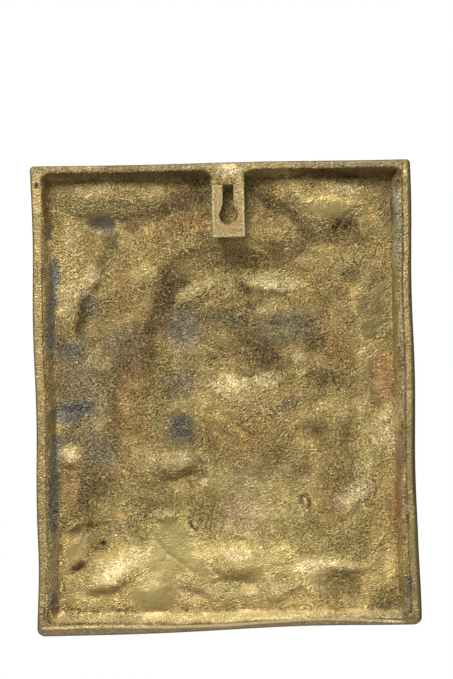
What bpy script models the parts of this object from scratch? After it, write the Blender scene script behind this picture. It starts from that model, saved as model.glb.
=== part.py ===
"""A cast brass wall plaque, modelled in metres with +Z up.

The front faces -Y. The back faces +Y: it is a shallow tray with a turned rim, a floor that
follows the relief of the front, and a keyhole hanger at the top. The origin lies on the back of
the hanger, in the metal below its keyhole. The words right and left are as seen from the back.
"""

import math
from collections import namedtuple

import bmesh
import bpy
import numpy as np

# The plaque as a whole
PLAQUE_WIDTH = 0.1975
PLAQUE_HEIGHT = 0.2437
HANGER_OFF_CENTRE = 0.0038
CORNER_RADIUS_LOW = 0.0042
CORNER_RADIUS_HIGH = 0.0022
CORNER_FLARE = 0.0016
FLARE_HEIGHT = 0.045
EDGE_WAVE = 0.0004
BOTTOM_BOW = 0.0012
EDGE_CHAMFER = 0.0006

# The turned rim and the tray inside it
SIDE_RIM_WIDTH = 0.0047
TOP_RIM_WIDTH = 0.0032
BOTTOM_RIM_WIDTH = 0.0045
BOTTOM_RIM_TAPER = 0.0022
RIM_BEHIND_HANGER = 0.0008
FLOOR_DEPTH = 0.0105
SIDE_WALL_RUN = 0.0062
TOP_WALL_RUN = 0.0046
BOTTOM_WALL_RUN = 0.0052
INNER_CORNER_RADIUS = 0.0050

# The front
FRONT_EDGE_DEPTH = 0.0112
FRONT_FIELD_DEPTH = 0.0140
LEAST_WALL = 0.0028
BORDER_WIDTH = 0.0065
BORDER_RISE = 0.0016
BORDER_EDGE_RUN = 0.0030
BOSS_RISE = 0.0064
WREATH_RISE = 0.0025
WREATH_LEAVES = 24

# The keyhole hanger
STRAP_WIDTH = 0.0172
STRAP_THICKNESS = 0.0030
STRAP_END_CORNER = 0.0009
STRAP_CHAMFER = 0.0003
STRAP_FOOT = 0.0068
KEYHOLE_BULB_DIAMETER = 0.0094
KEYHOLE_SLOT_WIDTH = 0.0052
KEYHOLE_SLOT_LENGTH = 0.0156

# The neck that holds the hanger's upper end
NECK_HEIGHT = 0.0118
NECK_WALL_RUN = 0.0009
NECK_FILLET = 0.0052
NECK_SLOPE_RUN = 0.0042
TAIL_LENGTH = 0.0070
TAIL_CLEARANCE = 0.0003

# How finely the casting is drawn
GRID_STEP = 0.0019
FINE_GRID_STEP = 0.0009
TRIANGLE_SHARE = 0.120

# Heights that follow from the sizes above
HALF_WIDTH = PLAQUE_WIDTH / 2
HALF_HEIGHT = PLAQUE_HEIGHT / 2
BULB_RADIUS = KEYHOLE_BULB_DIAMETER / 2
BULB_Z = STRAP_FOOT / 2 + BULB_RADIUS
NECK_Z = BULB_Z + KEYHOLE_SLOT_LENGTH
TOP_Z = NECK_Z + NECK_HEIGHT
CENTRE_X = HANGER_OFF_CENTRE
CENTRE_Z = TOP_Z - HALF_HEIGHT
RIM_Y = RIM_BEHIND_HANGER

Dab = namedtuple("Dab", "across up half_width half_height turn rise")

# The floor's main forms, as a hand pressed them. Places are shares of the plaque's half width and
# half height, right and up from its centre. Sizes are shares of its half width, the turn is in
# degrees anticlockwise, and the rise is in metres towards the back.
GREAT_HOLLOW = Dab(0.16, -0.04, 0.53, 0.86, 0, -0.0045)
HOLLOW_SOFTNESS = 0.30
HOLLOW_STEEP_TOP = 0.18
ARCH_BAND = Dab(-0.13, 0.16, 0.70, 0.765, 0, 0.0024)
ARCH_BAND_SPREAD = 0.075
ARCH_BAND_START = (math.radians(60), math.radians(95))
ARCH_BAND_END = (math.radians(165), math.radians(205))
DABS = {
    "upper left lobe": Dab(-0.57, 0.93, 0.50, 0.26, 0, 0.0030),
    "upper right lobe": Dab(0.50, 0.93, 0.40, 0.28, -6, 0.0032),
    "lobe right of the hanger": Dab(0.29, 0.72, 0.21, 0.17, 0, 0.0021),
    "lobe left of the hanger": Dab(-0.32, 0.71, 0.29, 0.16, 15, 0.0018),
    "right pillow": Dab(0.83, 0.66, 0.12, 0.26, 0, 0.0018),
    "upper right notch": Dab(0.65, 0.71, 0.20, 0.11, 12, -0.0022),
    "upper left dent": Dab(-0.65, 0.75, 0.22, 0.16, 20, -0.0024),
    "left pillow": Dab(-0.84, 0.60, 0.16, 0.24, -15, 0.0016),
    "middle ground left of the hollow": Dab(-0.58, 0.14, 0.28, 0.60, 0, -0.0012),
    "shoulder right of the hollow": Dab(0.72, 0.44, 0.26, 0.38, 0, 0.0014),
    "central mound": Dab(0.12, -0.12, 0.36, 0.29, 0, 0.0036),
    "left crest in the hollow": Dab(-0.08, 0.47, 0.24, 0.09, 24, 0.0020),
    "right crest in the hollow": Dab(0.28, 0.48, 0.27, 0.10, -2, 0.0022),
    "dip under the right crest": Dab(0.28, 0.25, 0.30, 0.20, 0, -0.0018),
    "left dip": Dab(-0.28, -0.09, 0.20, 0.17, 0, -0.0016),
    "left bump": Dab(-0.29, -0.245, 0.22, 0.12, 8, 0.0017),
    "dip under the left bump": Dab(-0.25, -0.38, 0.24, 0.13, 6, -0.0015),
    "right patch": Dab(0.45, -0.14, 0.20, 0.12, 0, -0.0016),
    "right bulge": Dab(0.86, -0.13, 0.15, 0.26, 0, 0.0016),
    "right fold": Dab(0.665, -0.42, 0.24, 0.13, 38, 0.0017),
    "left fold": Dab(-0.84, -0.25, 0.17, 0.14, 0, 0.0015),
    "lower ridge": Dab(0.06, -0.69, 0.36, 0.12, 3, 0.0016),
    "lower left mound": Dab(-0.55, -0.81, 0.44, 0.22, 12, 0.0024),
    "lower left dent": Dab(-0.68, -0.60, 0.20, 0.13, 10, -0.0018),
    "lower right dent": Dab(0.60, -0.79, 0.22, 0.11, 0, -0.0019),
    "lower middle swell": Dab(0.30, -0.86, 0.30, 0.14, 0, 0.0012),
}

# The front's oval boss and the wreath round it
BOSS = Dab(0.0, 0.0, 0.72, 0.92, 0, BOSS_RISE)
BOSS_EDGE = 0.84
BOSS_CROWN = 0.2
WREATH = Dab(0.0, 0.0, 0.80, 1.01, 0, WREATH_RISE)
WREATH_SPREAD = 0.072
LEAF_LOW_END = 0.45


def clear_scene():
    for old in list(bpy.data.objects):
        bpy.data.objects.remove(old, do_unlink=True)


def collection(name, shown=True):
    made = bpy.data.collections.new(name)
    made.hide_render = not shown
    bpy.context.scene.collection.children.link(made)
    return made


def metal(name, colour, roughness):
    material = bpy.data.materials.new(name)
    material.use_nodes = True
    shader = material.node_tree.nodes["Principled BSDF"]
    shader.inputs["Base Color"].default_value = (*colour, 1)
    shader.inputs["Metallic"].default_value = 1
    shader.inputs["Roughness"].default_value = roughness
    return material


def add_object(name, mesh, group):
    made = bpy.data.objects.new(name, mesh)
    group.objects.link(made)
    return made


def ease(low, high, value):
    """0 below low, 1 above high, and a smooth rise between them."""
    share = np.clip((value - low) / (high - low), 0, 1)
    return share * share * (3 - 2 * share)


def soft_least(first, second, blend):
    """The lesser of two distances, with a fillet where they are nearly equal."""
    gap = np.maximum(blend - np.abs(first - second), 0) / blend
    return np.minimum(first, second) - gap * gap * blend / 4


def oval_reach(right, up, form):
    """Distance from the form's middle, counted so that its outline lies at 1."""
    across = right - form.across * HALF_WIDTH
    above = up - form.up * HALF_HEIGHT
    turn = math.radians(form.turn)
    along = (across * math.cos(turn) + above * math.sin(turn)) / (form.half_width * HALF_WIDTH)
    over = (above * math.cos(turn) - across * math.sin(turn)) / (form.half_height * HALF_WIDTH)
    return np.hypot(along, over), np.arctan2(over, along)


def dab_height(right, up, form):
    reach, _ = oval_reach(right, up, form)
    return form.rise * np.clip(1 - reach * reach, 0, None) ** 2


def hollow_height(right, up):
    """The great hollow: a steep upper side, and a soft lower one that fades into the floor."""
    reach, bearing = oval_reach(right, up, GREAT_HOLLOW)
    softness = HOLLOW_SOFTNESS - HOLLOW_STEEP_TOP * np.sin(bearing)
    return GREAT_HOLLOW.rise * (1 - ease(1 - softness, 1 + softness / 3, reach))


def arch_height(right, up):
    """The raised band that runs over the upper left of the hollow and ends beside the hanger."""
    reach, bearing = oval_reach(right, up, ARCH_BAND)
    crest = np.exp(-(((reach - 1) / ARCH_BAND_SPREAD) ** 2))
    turn = bearing % math.tau
    shown = ease(*ARCH_BAND_START, turn) * (1 - ease(*ARCH_BAND_END, turn))
    return ARCH_BAND.rise * crest * shown


def floor_height(right, up):
    height = hollow_height(right, up) + arch_height(right, up)
    for form in DABS.values():
        height = height + dab_height(right, up, form)
    return height


def floor_y(right, up):
    return RIM_Y - FLOOR_DEPTH + floor_height(right, up)


def rounded_inside(right, up):
    """Distance from the rim's inner edge, positive over the tray, with rounded corners."""
    side = HALF_WIDTH - SIDE_RIM_WIDTH
    top = HALF_HEIGHT - TOP_RIM_WIDTH
    bottom = HALF_HEIGHT - BOTTOM_RIM_WIDTH
    to_side = side - np.abs(right)
    to_end = np.where(up > 0, top - up, bottom + up)
    short_side = np.clip(INNER_CORNER_RADIUS - to_side, 0, None)
    short_end = np.clip(INNER_CORNER_RADIUS - to_end, 0, None)
    corner = INNER_CORNER_RADIUS - np.hypot(short_side, short_end)
    return np.where((short_side > 0) & (short_end > 0), corner, np.minimum(to_side, to_end))


def wall_run(right, up):
    """The length over which the rim's inner wall comes down to the floor."""
    beside = HALF_WIDTH - np.abs(right)
    beyond = HALF_HEIGHT - np.abs(up)
    end_run = np.where(up > 0, TOP_WALL_RUN, BOTTOM_WALL_RUN)
    share = ease(-SIDE_WALL_RUN, SIDE_WALL_RUN, beside - beyond)
    return SIDE_WALL_RUN + (end_run - SIDE_WALL_RUN) * share


def neck_outside(right, up):
    """Distance from the neck's outline, with the neck's middle on the hanger's."""
    from_middle = np.abs(right - HANGER_OFF_CENTRE) - STRAP_WIDTH / 2
    below = NECK_Z - CENTRE_Z - up
    return np.where(
        (from_middle > 0) & (below > 0), np.hypot(from_middle, below), np.maximum(from_middle, below)
    )


def back_y(right, up):
    """The back's height: rim, neck, inner wall and floor."""
    inside = rounded_inside(right, up)
    outside_neck = neck_outside(right, up)
    distance = soft_least(inside, outside_neck, NECK_FILLET)
    near_neck = ease(-NECK_FILLET / 2, NECK_FILLET / 2, inside - outside_neck)
    run = wall_run(right, up) + (NECK_WALL_RUN - wall_run(right, up)) * near_neck
    fall = ease(0, 1, distance / run)
    neck_end = ease(0, NECK_SLOPE_RUN, up - (NECK_Z - CENTRE_Z))
    slope = RIM_BEHIND_HANGER * (1 - neck_end) * near_neck * (inside > 0)
    raised = RIM_Y - slope
    height = raised + (floor_y(right, up) - raised) * fall
    edge = np.minimum(HALF_WIDTH - np.abs(right), HALF_HEIGHT - np.abs(up))
    return height - np.clip(EDGE_CHAMFER - edge, 0, None)


def leaf_height(right, up):
    """A wreath of plain leaves that follow one another round the boss."""
    reach, _ = oval_reach(right, up, WREATH)
    bearing = np.arctan2(up / WREATH.half_height, right / WREATH.half_width)
    lane = (reach - 1) / WREATH_SPREAD
    along = (bearing / math.tau * WREATH_LEAVES) % 1
    width = np.clip(np.sin(math.pi * along), 0.05, None) ** 0.6
    body = np.clip(1 - (lane / width) ** 2, 0, None)
    return WREATH.rise * body * (LEAF_LOW_END + (1 - LEAF_LOW_END) * along)


def front_y(right, up):
    """The front: a flat border, a sunk field, the wreath and the domed boss inside it."""
    edge = np.minimum(HALF_WIDTH - np.abs(right), HALF_HEIGHT - np.abs(up))
    border = BORDER_RISE * (1 - ease(BORDER_WIDTH, BORDER_WIDTH + BORDER_EDGE_RUN, edge))
    reach, _ = oval_reach(right, up, BOSS)
    dome = 1 - BOSS_CROWN + BOSS_CROWN * (1 - np.clip(reach, 0, 1) ** 2)
    boss = BOSS.rise * (1 - ease(BOSS_EDGE, 1, reach)) * dome
    depth = FRONT_FIELD_DEPTH + border + boss + leaf_height(right, up)
    lip = ease(0, BORDER_RISE, edge)
    behind = RIM_Y - floor_y(right, up) + LEAST_WALL
    return RIM_Y + soft_least(-depth, -behind, LEAST_WALL / 2) * lip - FRONT_EDGE_DEPTH * (1 - lip)


def round_corners(right, up):
    """Draws the grid's square corners in to round ones."""
    radius = np.where(up > 0, CORNER_RADIUS_HIGH, CORNER_RADIUS_LOW)
    into_side = np.clip(np.abs(right) - (HALF_WIDTH - radius), 0, None) / radius
    into_end = np.clip(np.abs(up) - (HALF_HEIGHT - radius), 0, None) / radius
    longest = np.maximum(into_side, into_end)
    diagonal = np.maximum(np.hypot(into_side, into_end), 1e-9)
    pull = np.where(longest > 0, longest / diagonal, 1)
    new_right = np.sign(right) * (np.abs(right) - into_side * radius * (1 - pull))
    new_up = np.sign(up) * (np.abs(up) - into_end * radius * (1 - pull))
    return new_right, new_up


def hand_made_edge(right, up):
    """Moves the outer edge as the hand-worked one wanders, and leaves the tray as it is."""
    side_share = ease(HALF_WIDTH - 3 * SIDE_RIM_WIDTH, HALF_WIDTH, np.abs(right))
    end_share = ease(HALF_HEIGHT - 3 * SIDE_RIM_WIDTH, HALF_HEIGHT, np.abs(up))
    flare = CORNER_FLARE * ease(-HALF_HEIGHT + FLARE_HEIGHT, -HALF_HEIGHT, up)
    side_wave = EDGE_WAVE * np.sin(right / HALF_WIDTH + 5.2 * math.pi * up / PLAQUE_HEIGHT)
    end_wave = EDGE_WAVE * np.sin(3.0 * math.pi * right / PLAQUE_WIDTH + 0.6)
    bow = BOTTOM_BOW * np.exp(-(((right - 0.45 * HALF_WIDTH) / (0.5 * HALF_WIDTH)) ** 2)) * (up < 0)
    taper = BOTTOM_RIM_TAPER / 2 * (right / HALF_WIDTH) * (up < 0)
    new_right = right + np.sign(right) * side_share * (flare + side_wave)
    new_up = up + end_share * (end_wave / 2 + bow + taper)
    return new_right, new_up


def ruled(marks, step):
    """Grid lines from the first mark to the last, on every mark, no further apart than step."""
    lines = [marks[0]]
    for low, high in zip(marks, marks[1:]):
        count = max(1, math.ceil((high - low) / step - 1e-6))
        lines += [low + (high - low) * turn / count for turn in range(1, count + 1)]
    return np.array(lines)


def grid_lines():
    """Lines across and up, finer round the neck and at the rim."""
    neck_half = STRAP_WIDTH / 2 + NECK_FILLET
    side = [EDGE_CHAMFER, SIDE_RIM_WIDTH, SIDE_RIM_WIDTH + SIDE_WALL_RUN]
    left = [-HALF_WIDTH] + [-HALF_WIDTH + mark for mark in side]
    right = [HALF_WIDTH - mark for mark in reversed(side)] + [HALF_WIDTH]
    middle = ruled([HANGER_OFF_CENTRE - neck_half, HANGER_OFF_CENTRE + neck_half], FINE_GRID_STEP)
    across = ruled(left + list(middle) + right, GRID_STEP)
    low = [0, EDGE_CHAMFER, BOTTOM_RIM_WIDTH, BOTTOM_RIM_WIDTH + BOTTOM_WALL_RUN]
    high = [TOP_RIM_WIDTH, EDGE_CHAMFER, 0]
    neck = ruled([NECK_Z - CENTRE_Z - NECK_FILLET, HALF_HEIGHT - TOP_RIM_WIDTH], FINE_GRID_STEP)
    marks = [-HALF_HEIGHT + mark for mark in low] + list(neck[:-1])
    marks += [HALF_HEIGHT - mark for mark in high]
    return across, ruled(marks, GRID_STEP)


def casting_sheet(across, up):
    """A closed slab on the given lines, bent to the back and front heights."""
    bm = bmesh.new()
    bmesh.ops.create_grid(bm, x_segments=len(across) - 1, y_segments=len(up) - 1, size=0.5)
    grown = bmesh.ops.extrude_face_region(bm, geom=bm.faces[:], use_keep_orig=True)["geom"]
    behind = set(grown)
    is_back = np.array([vert in behind for vert in bm.verts])
    right = across[[round((vert.co.x + 0.5) * (len(across) - 1)) for vert in bm.verts]]
    above = up[[round((vert.co.y + 0.5) * (len(up) - 1)) for vert in bm.verts]]
    depth = np.where(is_back, back_y(right, above), front_y(right, above))
    right, above = round_corners(right, above)
    right, above = hand_made_edge(right, above)
    for vert, x, y, z in zip(bm.verts, CENTRE_X - right, depth, CENTRE_Z + above):
        vert.co = (x, y, z)
    bmesh.ops.recalc_face_normals(bm, faces=bm.faces[:])
    mesh = bpy.data.meshes.new("plaque_casting")
    bm.to_mesh(mesh)
    bm.free()
    return mesh


def tail_socket(cutters):
    """The pocket in the neck that the hanger's upper end sits in."""
    bm = bmesh.new()
    bmesh.ops.create_cube(bm, size=1)
    width = STRAP_WIDTH + 2 * TAIL_CLEARANCE
    thickness = STRAP_THICKNESS + 2 * TAIL_CLEARANCE
    low = NECK_Z - NECK_FILLET
    high = NECK_Z + TAIL_LENGTH + TAIL_CLEARANCE
    bmesh.ops.scale(bm, vec=(width, thickness, high - low), verts=bm.verts[:])
    bmesh.ops.translate(bm, vec=(0, -STRAP_THICKNESS / 2, (low + high) / 2), verts=bm.verts[:])
    mesh = bpy.data.meshes.new("tail_socket")
    bm.to_mesh(mesh)
    bm.free()
    cutter = add_object("tail_socket", mesh, cutters)
    cutter.hide_render = True
    cutter.display_type = "WIRE"
    return cutter


def make_casting(parts, cutters):
    casting = add_object("plaque_casting", casting_sheet(*grid_lines()), parts)
    casting.data.materials.append(metal("cast brass", (0.36, 0.26, 0.11), 0.45))
    fewer = casting.modifiers.new("fewer faces", "DECIMATE")
    fewer.ratio = TRIANGLE_SHARE
    socket = casting.modifiers.new("tail socket", "BOOLEAN")
    socket.object = tail_socket(cutters)
    socket.operation = "DIFFERENCE"
    return casting


def arc(middle_x, middle_z, radius, start, end, steps):
    """Points on an arc, with its angles in degrees anticlockwise from +X."""
    angles = [math.radians(start + (end - start) * turn / steps) for turn in range(steps + 1)]
    return [(middle_x + radius * math.cos(a), middle_z + radius * math.sin(a)) for a in angles]


def strap_outline():
    half = STRAP_WIDTH / 2
    corner = STRAP_END_CORNER
    foot = -STRAP_FOOT / 2 + corner
    top = NECK_Z + TAIL_LENGTH
    left = arc(-half + corner, foot, corner, 180, 270, 3)
    right = arc(half - corner, foot, corner, 270, 360, 3)
    return left + right + [(half, top), (-half, top)]


def keyhole_outline():
    """The round end, with a flared throat into the slot, closed at the top by the neck."""
    half_slot = KEYHOLE_SLOT_WIDTH / 2
    throat = math.degrees(math.asin(half_slot / BULB_RADIUS)) + 14
    bulb = arc(0, BULB_Z, BULB_RADIUS, 90 + throat, 450 - throat, 18)
    flare = BULB_Z + BULB_RADIUS * 1.25
    top = NECK_Z + TAIL_CLEARANCE
    return bulb + [(half_slot, flare), (half_slot, top), (-half_slot, top), (-half_slot, flare)]


def make_hanger(parts):
    curve = bpy.data.curves.new("keyhole_hanger", "CURVE")
    curve.dimensions = "2D"
    curve.fill_mode = "BOTH"
    curve.extrude = STRAP_THICKNESS / 2 - STRAP_CHAMFER
    curve.bevel_depth = STRAP_CHAMFER
    curve.bevel_resolution = 0
    curve.offset = -STRAP_CHAMFER
    for outline in (strap_outline(), keyhole_outline()):
        spline = curve.splines.new("POLY")
        spline.points.add(len(outline) - 1)
        for point, (x, z) in zip(spline.points, outline):
            point.co = (x, z, 0, 1)
        spline.use_cyclic_u = True
    hanger = add_object("keyhole_hanger", curve, parts)
    hanger.rotation_euler = (math.radians(90), 0, 0)
    hanger.location = (0, -STRAP_THICKNESS / 2, 0)
    curve.materials.append(metal("strap brass", (0.47, 0.33, 0.20), 0.5))
    return hanger


def main():
    clear_scene()
    parts = collection("cast_wall_plaque")
    cutters = collection("cutters", shown=False)
    make_casting(parts, cutters)
    make_hanger(parts)


main()
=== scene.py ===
"""Dresses a cast brass wall plaque, seen from its hollow back, with its keyhole hanger.

The words right and left are as seen from the back, as the camera sees it.
"""

import math
from collections import namedtuple

import bmesh
import bpy
import numpy as np
from mathutils import Matrix, Vector, noise


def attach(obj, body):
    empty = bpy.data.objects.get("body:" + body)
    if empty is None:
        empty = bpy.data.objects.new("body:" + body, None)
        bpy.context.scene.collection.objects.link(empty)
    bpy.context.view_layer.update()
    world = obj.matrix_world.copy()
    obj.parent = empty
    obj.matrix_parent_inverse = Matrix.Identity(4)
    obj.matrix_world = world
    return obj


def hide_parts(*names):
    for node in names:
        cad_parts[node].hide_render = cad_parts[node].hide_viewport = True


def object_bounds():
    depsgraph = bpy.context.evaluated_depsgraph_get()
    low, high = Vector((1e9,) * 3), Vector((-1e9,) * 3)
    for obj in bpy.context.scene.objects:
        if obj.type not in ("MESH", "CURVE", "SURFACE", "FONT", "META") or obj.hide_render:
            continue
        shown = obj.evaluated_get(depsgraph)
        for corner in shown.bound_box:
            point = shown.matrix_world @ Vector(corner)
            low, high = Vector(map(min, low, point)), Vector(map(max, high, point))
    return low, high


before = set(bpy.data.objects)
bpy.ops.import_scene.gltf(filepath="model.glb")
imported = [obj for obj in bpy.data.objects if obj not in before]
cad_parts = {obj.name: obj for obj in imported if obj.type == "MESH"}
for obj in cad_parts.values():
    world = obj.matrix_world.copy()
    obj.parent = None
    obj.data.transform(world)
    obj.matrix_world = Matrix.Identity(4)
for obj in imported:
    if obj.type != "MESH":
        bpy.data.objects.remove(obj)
CAD_BOX = [list(corner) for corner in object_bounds()]

# Sizes of the construction, as the solids have them, in metres
PLAQUE_WIDTH = 0.1975
PLAQUE_HEIGHT = 0.2437
HANGER_OFF_CENTRE = 0.0038
CORNER_RADIUS_LOW = 0.0042
CORNER_RADIUS_HIGH = 0.0022
CORNER_FLARE = 0.0016
FLARE_HEIGHT = 0.045
EDGE_WAVE = 0.0004
BOTTOM_BOW = 0.0012
SIDE_RIM_WIDTH = 0.0047
TOP_RIM_WIDTH = 0.0032
BOTTOM_RIM_WIDTH = 0.0045
BOTTOM_RIM_TAPER = 0.0022
RIM_BEHIND_HANGER = 0.0008
FLOOR_DEPTH = 0.0105
SIDE_WALL_RUN = 0.0062
TOP_WALL_RUN = 0.0046
BOTTOM_WALL_RUN = 0.0052
INNER_CORNER_RADIUS = 0.0050
FRONT_EDGE_DEPTH = 0.0112
FRONT_FIELD_DEPTH = 0.0140
LEAST_WALL = 0.0028
BORDER_WIDTH = 0.0065
BORDER_RISE = 0.0016
BORDER_EDGE_RUN = 0.0030
BOSS_RISE = 0.0064
WREATH_RISE = 0.0025
WREATH_LEAVES = 24
STRAP_WIDTH = 0.0172
STRAP_FOOT = 0.0068
KEYHOLE_BULB_DIAMETER = 0.0094
KEYHOLE_SLOT_LENGTH = 0.0156
NECK_HEIGHT = 0.0118
NECK_FILLET = 0.0052
NECK_WALL_RUN = 0.0009
NECK_SLOPE_RUN = 0.0042

# Places that follow from the sizes above
HALF_WIDTH = PLAQUE_WIDTH / 2
HALF_HEIGHT = PLAQUE_HEIGHT / 2
BULB_RADIUS = KEYHOLE_BULB_DIAMETER / 2
BULB_Z = STRAP_FOOT / 2 + BULB_RADIUS
NECK_Z = BULB_Z + KEYHOLE_SLOT_LENGTH
TOP_Z = NECK_Z + NECK_HEIGHT
CENTRE_X = HANGER_OFF_CENTRE
CENTRE_Z = TOP_Z - HALF_HEIGHT
RIM_Y = RIM_BEHIND_HANGER
PLAQUE_MIDDLE = Vector((CENTRE_X, RIM_Y, CENTRE_Z))

# How the outer edge wanders: where it starts to, the waves in half turns along each side, and
# where the lower side bows out, as shares of the half width
EDGE_REACH = 3 * SIDE_RIM_WIDTH
SIDE_WAVES = 5.2
END_WAVES = 3.0
END_WAVE_START = 0.6
BOW_PLACE = 0.45
BOW_SPREAD = 0.5

# The photograph: its size, its scale, the plaque's middle in it and the plaque's lean
PHOTO_WIDTH = 453
PHOTO_HEIGHT = 679
PIXEL = 0.00052
MIDDLE_X = 225
MIDDLE_Y = 397
LEAN = math.radians(1.21)
CAMERA_DISTANCE = 1.3
SENSOR_HEIGHT = 36

# The grid of the visible casting, in metres: its step, the finer step along the rim, and how far
# past the rim's bends that goes. Pits get extra cuts out to their reach, counted in their own half
# sizes, and the plain front keeps a share of its faces.
BACK_STEP = 0.00088
EDGE_STEP = 0.00040
BEND_REACH = 0.0010
BEAD_REACH = 0.0030
PIT_REACH = 1.6
PIT_CUTS = 2
FRONT_SHARE = 0.30
SHARP_ANGLE = math.radians(60)

# Soft noise: how fast its octaves fade and how much finer each is. A field of it has the size of
# its features in metres, a seed, its octaves and its amount.
FRACTAL_FALL = 1.0
FRACTAL_STEP = 2.0
Field = namedtuple("Field", "size seed octaves amount")

# How far the marks' outlines wander, in pixels: the seeds are for sideways, and those for upwards
# lie a step further
WANDERS = (Field(0.0085, 5.3, 2, 1.5), Field(0.0027, 25.1, 2, 2.0))
UPWARD_SEED = 10.6

# The relief that no mark gives, in millimetres, and how far a smooth area loses it
BROAD_RELIEF = Field(0.0110, 3.1, 3, 0.24)
KNOBBLY_RELIEF = Field(0.0046, 7.7, 3, 0.28)
GRAINY_RELIEF = Field(0.0020, 11.3, 2, 0.20)
SMOOTH_LOSS = 0.8
LUMPS_KEPT = 0.4
RIM_RELIEF = 0.15

# How strongly the marked lumps and ripples stand out
LUMP_SCALE = 2.1
RIPPLE_SCALE = 1.7

Dab = namedtuple("Dab", "across up half_width half_height turn rise")
Mark = namedtuple("Mark", "x y half_width half_height amount turn", defaults=[0])
Stroke = namedtuple("Stroke", "points width amount")

# The floor's main forms, as in the solids: places are shares of the half width and half height,
# right and up from the centre, and sizes are shares of the half width.
GREAT_HOLLOW = Dab(0.16, -0.04, 0.53, 0.86, 0, -0.0045)
HOLLOW_SOFTNESS = 0.30
HOLLOW_STEEP_TOP = 0.18
ARCH_BAND = Dab(-0.13, 0.16, 0.70, 0.765, 0, 0.0024)
ARCH_BAND_SPREAD = 0.075
ARCH_BAND_START = (math.radians(60), math.radians(95))
ARCH_BAND_END = (math.radians(165), math.radians(205))
DABS = {
    "upper left lobe": Dab(-0.57, 0.93, 0.50, 0.26, 0, 0.0030),
    "upper right lobe": Dab(0.50, 0.93, 0.40, 0.28, -6, 0.0032),
    "lobe right of the hanger": Dab(0.29, 0.72, 0.21, 0.17, 0, 0.0021),
    "lobe left of the hanger": Dab(-0.32, 0.71, 0.29, 0.16, 15, 0.0018),
    "right pillow": Dab(0.83, 0.66, 0.12, 0.26, 0, 0.0018),
    "upper right notch": Dab(0.65, 0.71, 0.20, 0.11, 12, -0.0022),
    "upper left dent": Dab(-0.65, 0.75, 0.22, 0.16, 20, -0.0024),
    "left pillow": Dab(-0.84, 0.60, 0.16, 0.24, -15, 0.0016),
    "middle ground left of the hollow": Dab(-0.58, 0.14, 0.28, 0.60, 0, -0.0012),
    "shoulder right of the hollow": Dab(0.72, 0.44, 0.26, 0.38, 0, 0.0014),
    "central mound": Dab(0.12, -0.12, 0.36, 0.29, 0, 0.0036),
    "left crest in the hollow": Dab(-0.08, 0.47, 0.24, 0.09, 24, 0.0020),
    "right crest in the hollow": Dab(0.28, 0.48, 0.27, 0.10, -2, 0.0022),
    "dip under the right crest": Dab(0.28, 0.25, 0.30, 0.20, 0, -0.0018),
    "left dip": Dab(-0.28, -0.09, 0.20, 0.17, 0, -0.0016),
    "left bump": Dab(-0.29, -0.245, 0.22, 0.12, 8, 0.0017),
    "dip under the left bump": Dab(-0.25, -0.38, 0.24, 0.13, 6, -0.0015),
    "right patch": Dab(0.45, -0.14, 0.20, 0.12, 0, -0.0016),
    "right bulge": Dab(0.86, -0.13, 0.15, 0.26, 0, 0.0016),
    "right fold": Dab(0.665, -0.42, 0.24, 0.13, 38, 0.0017),
    "left fold": Dab(-0.84, -0.25, 0.17, 0.14, 0, 0.0015),
    "lower ridge": Dab(0.06, -0.69, 0.36, 0.12, 3, 0.0016),
    "lower left mound": Dab(-0.55, -0.81, 0.44, 0.22, 12, 0.0024),
    "lower left dent": Dab(-0.68, -0.60, 0.20, 0.13, 10, -0.0018),
    "lower right dent": Dab(0.60, -0.79, 0.22, 0.11, 0, -0.0019),
    "lower middle swell": Dab(0.30, -0.86, 0.30, 0.14, 0, 0.0012),
}

# The front's boss and the wreath round it, in the same shares. Its leaves swell from a low end
# to a high one, with a rib along the middle.
BOSS = Dab(0.0, 0.0, 0.72, 0.92, 0, BOSS_RISE)
BOSS_EDGE = 0.84
BOSS_CROWN = 0.2
WREATH = Dab(0.0, 0.0, 0.80, 1.01, 0, WREATH_RISE)
WREATH_SPREAD = 0.072
LEAF_LOW_END = 0.45
LEAF_RIB = 0.38
LEAF_RIB_WIDTH = 0.13
LEAF_LEAST_WIDTH = 0.05
LEAF_FULLNESS = 0.6

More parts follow.
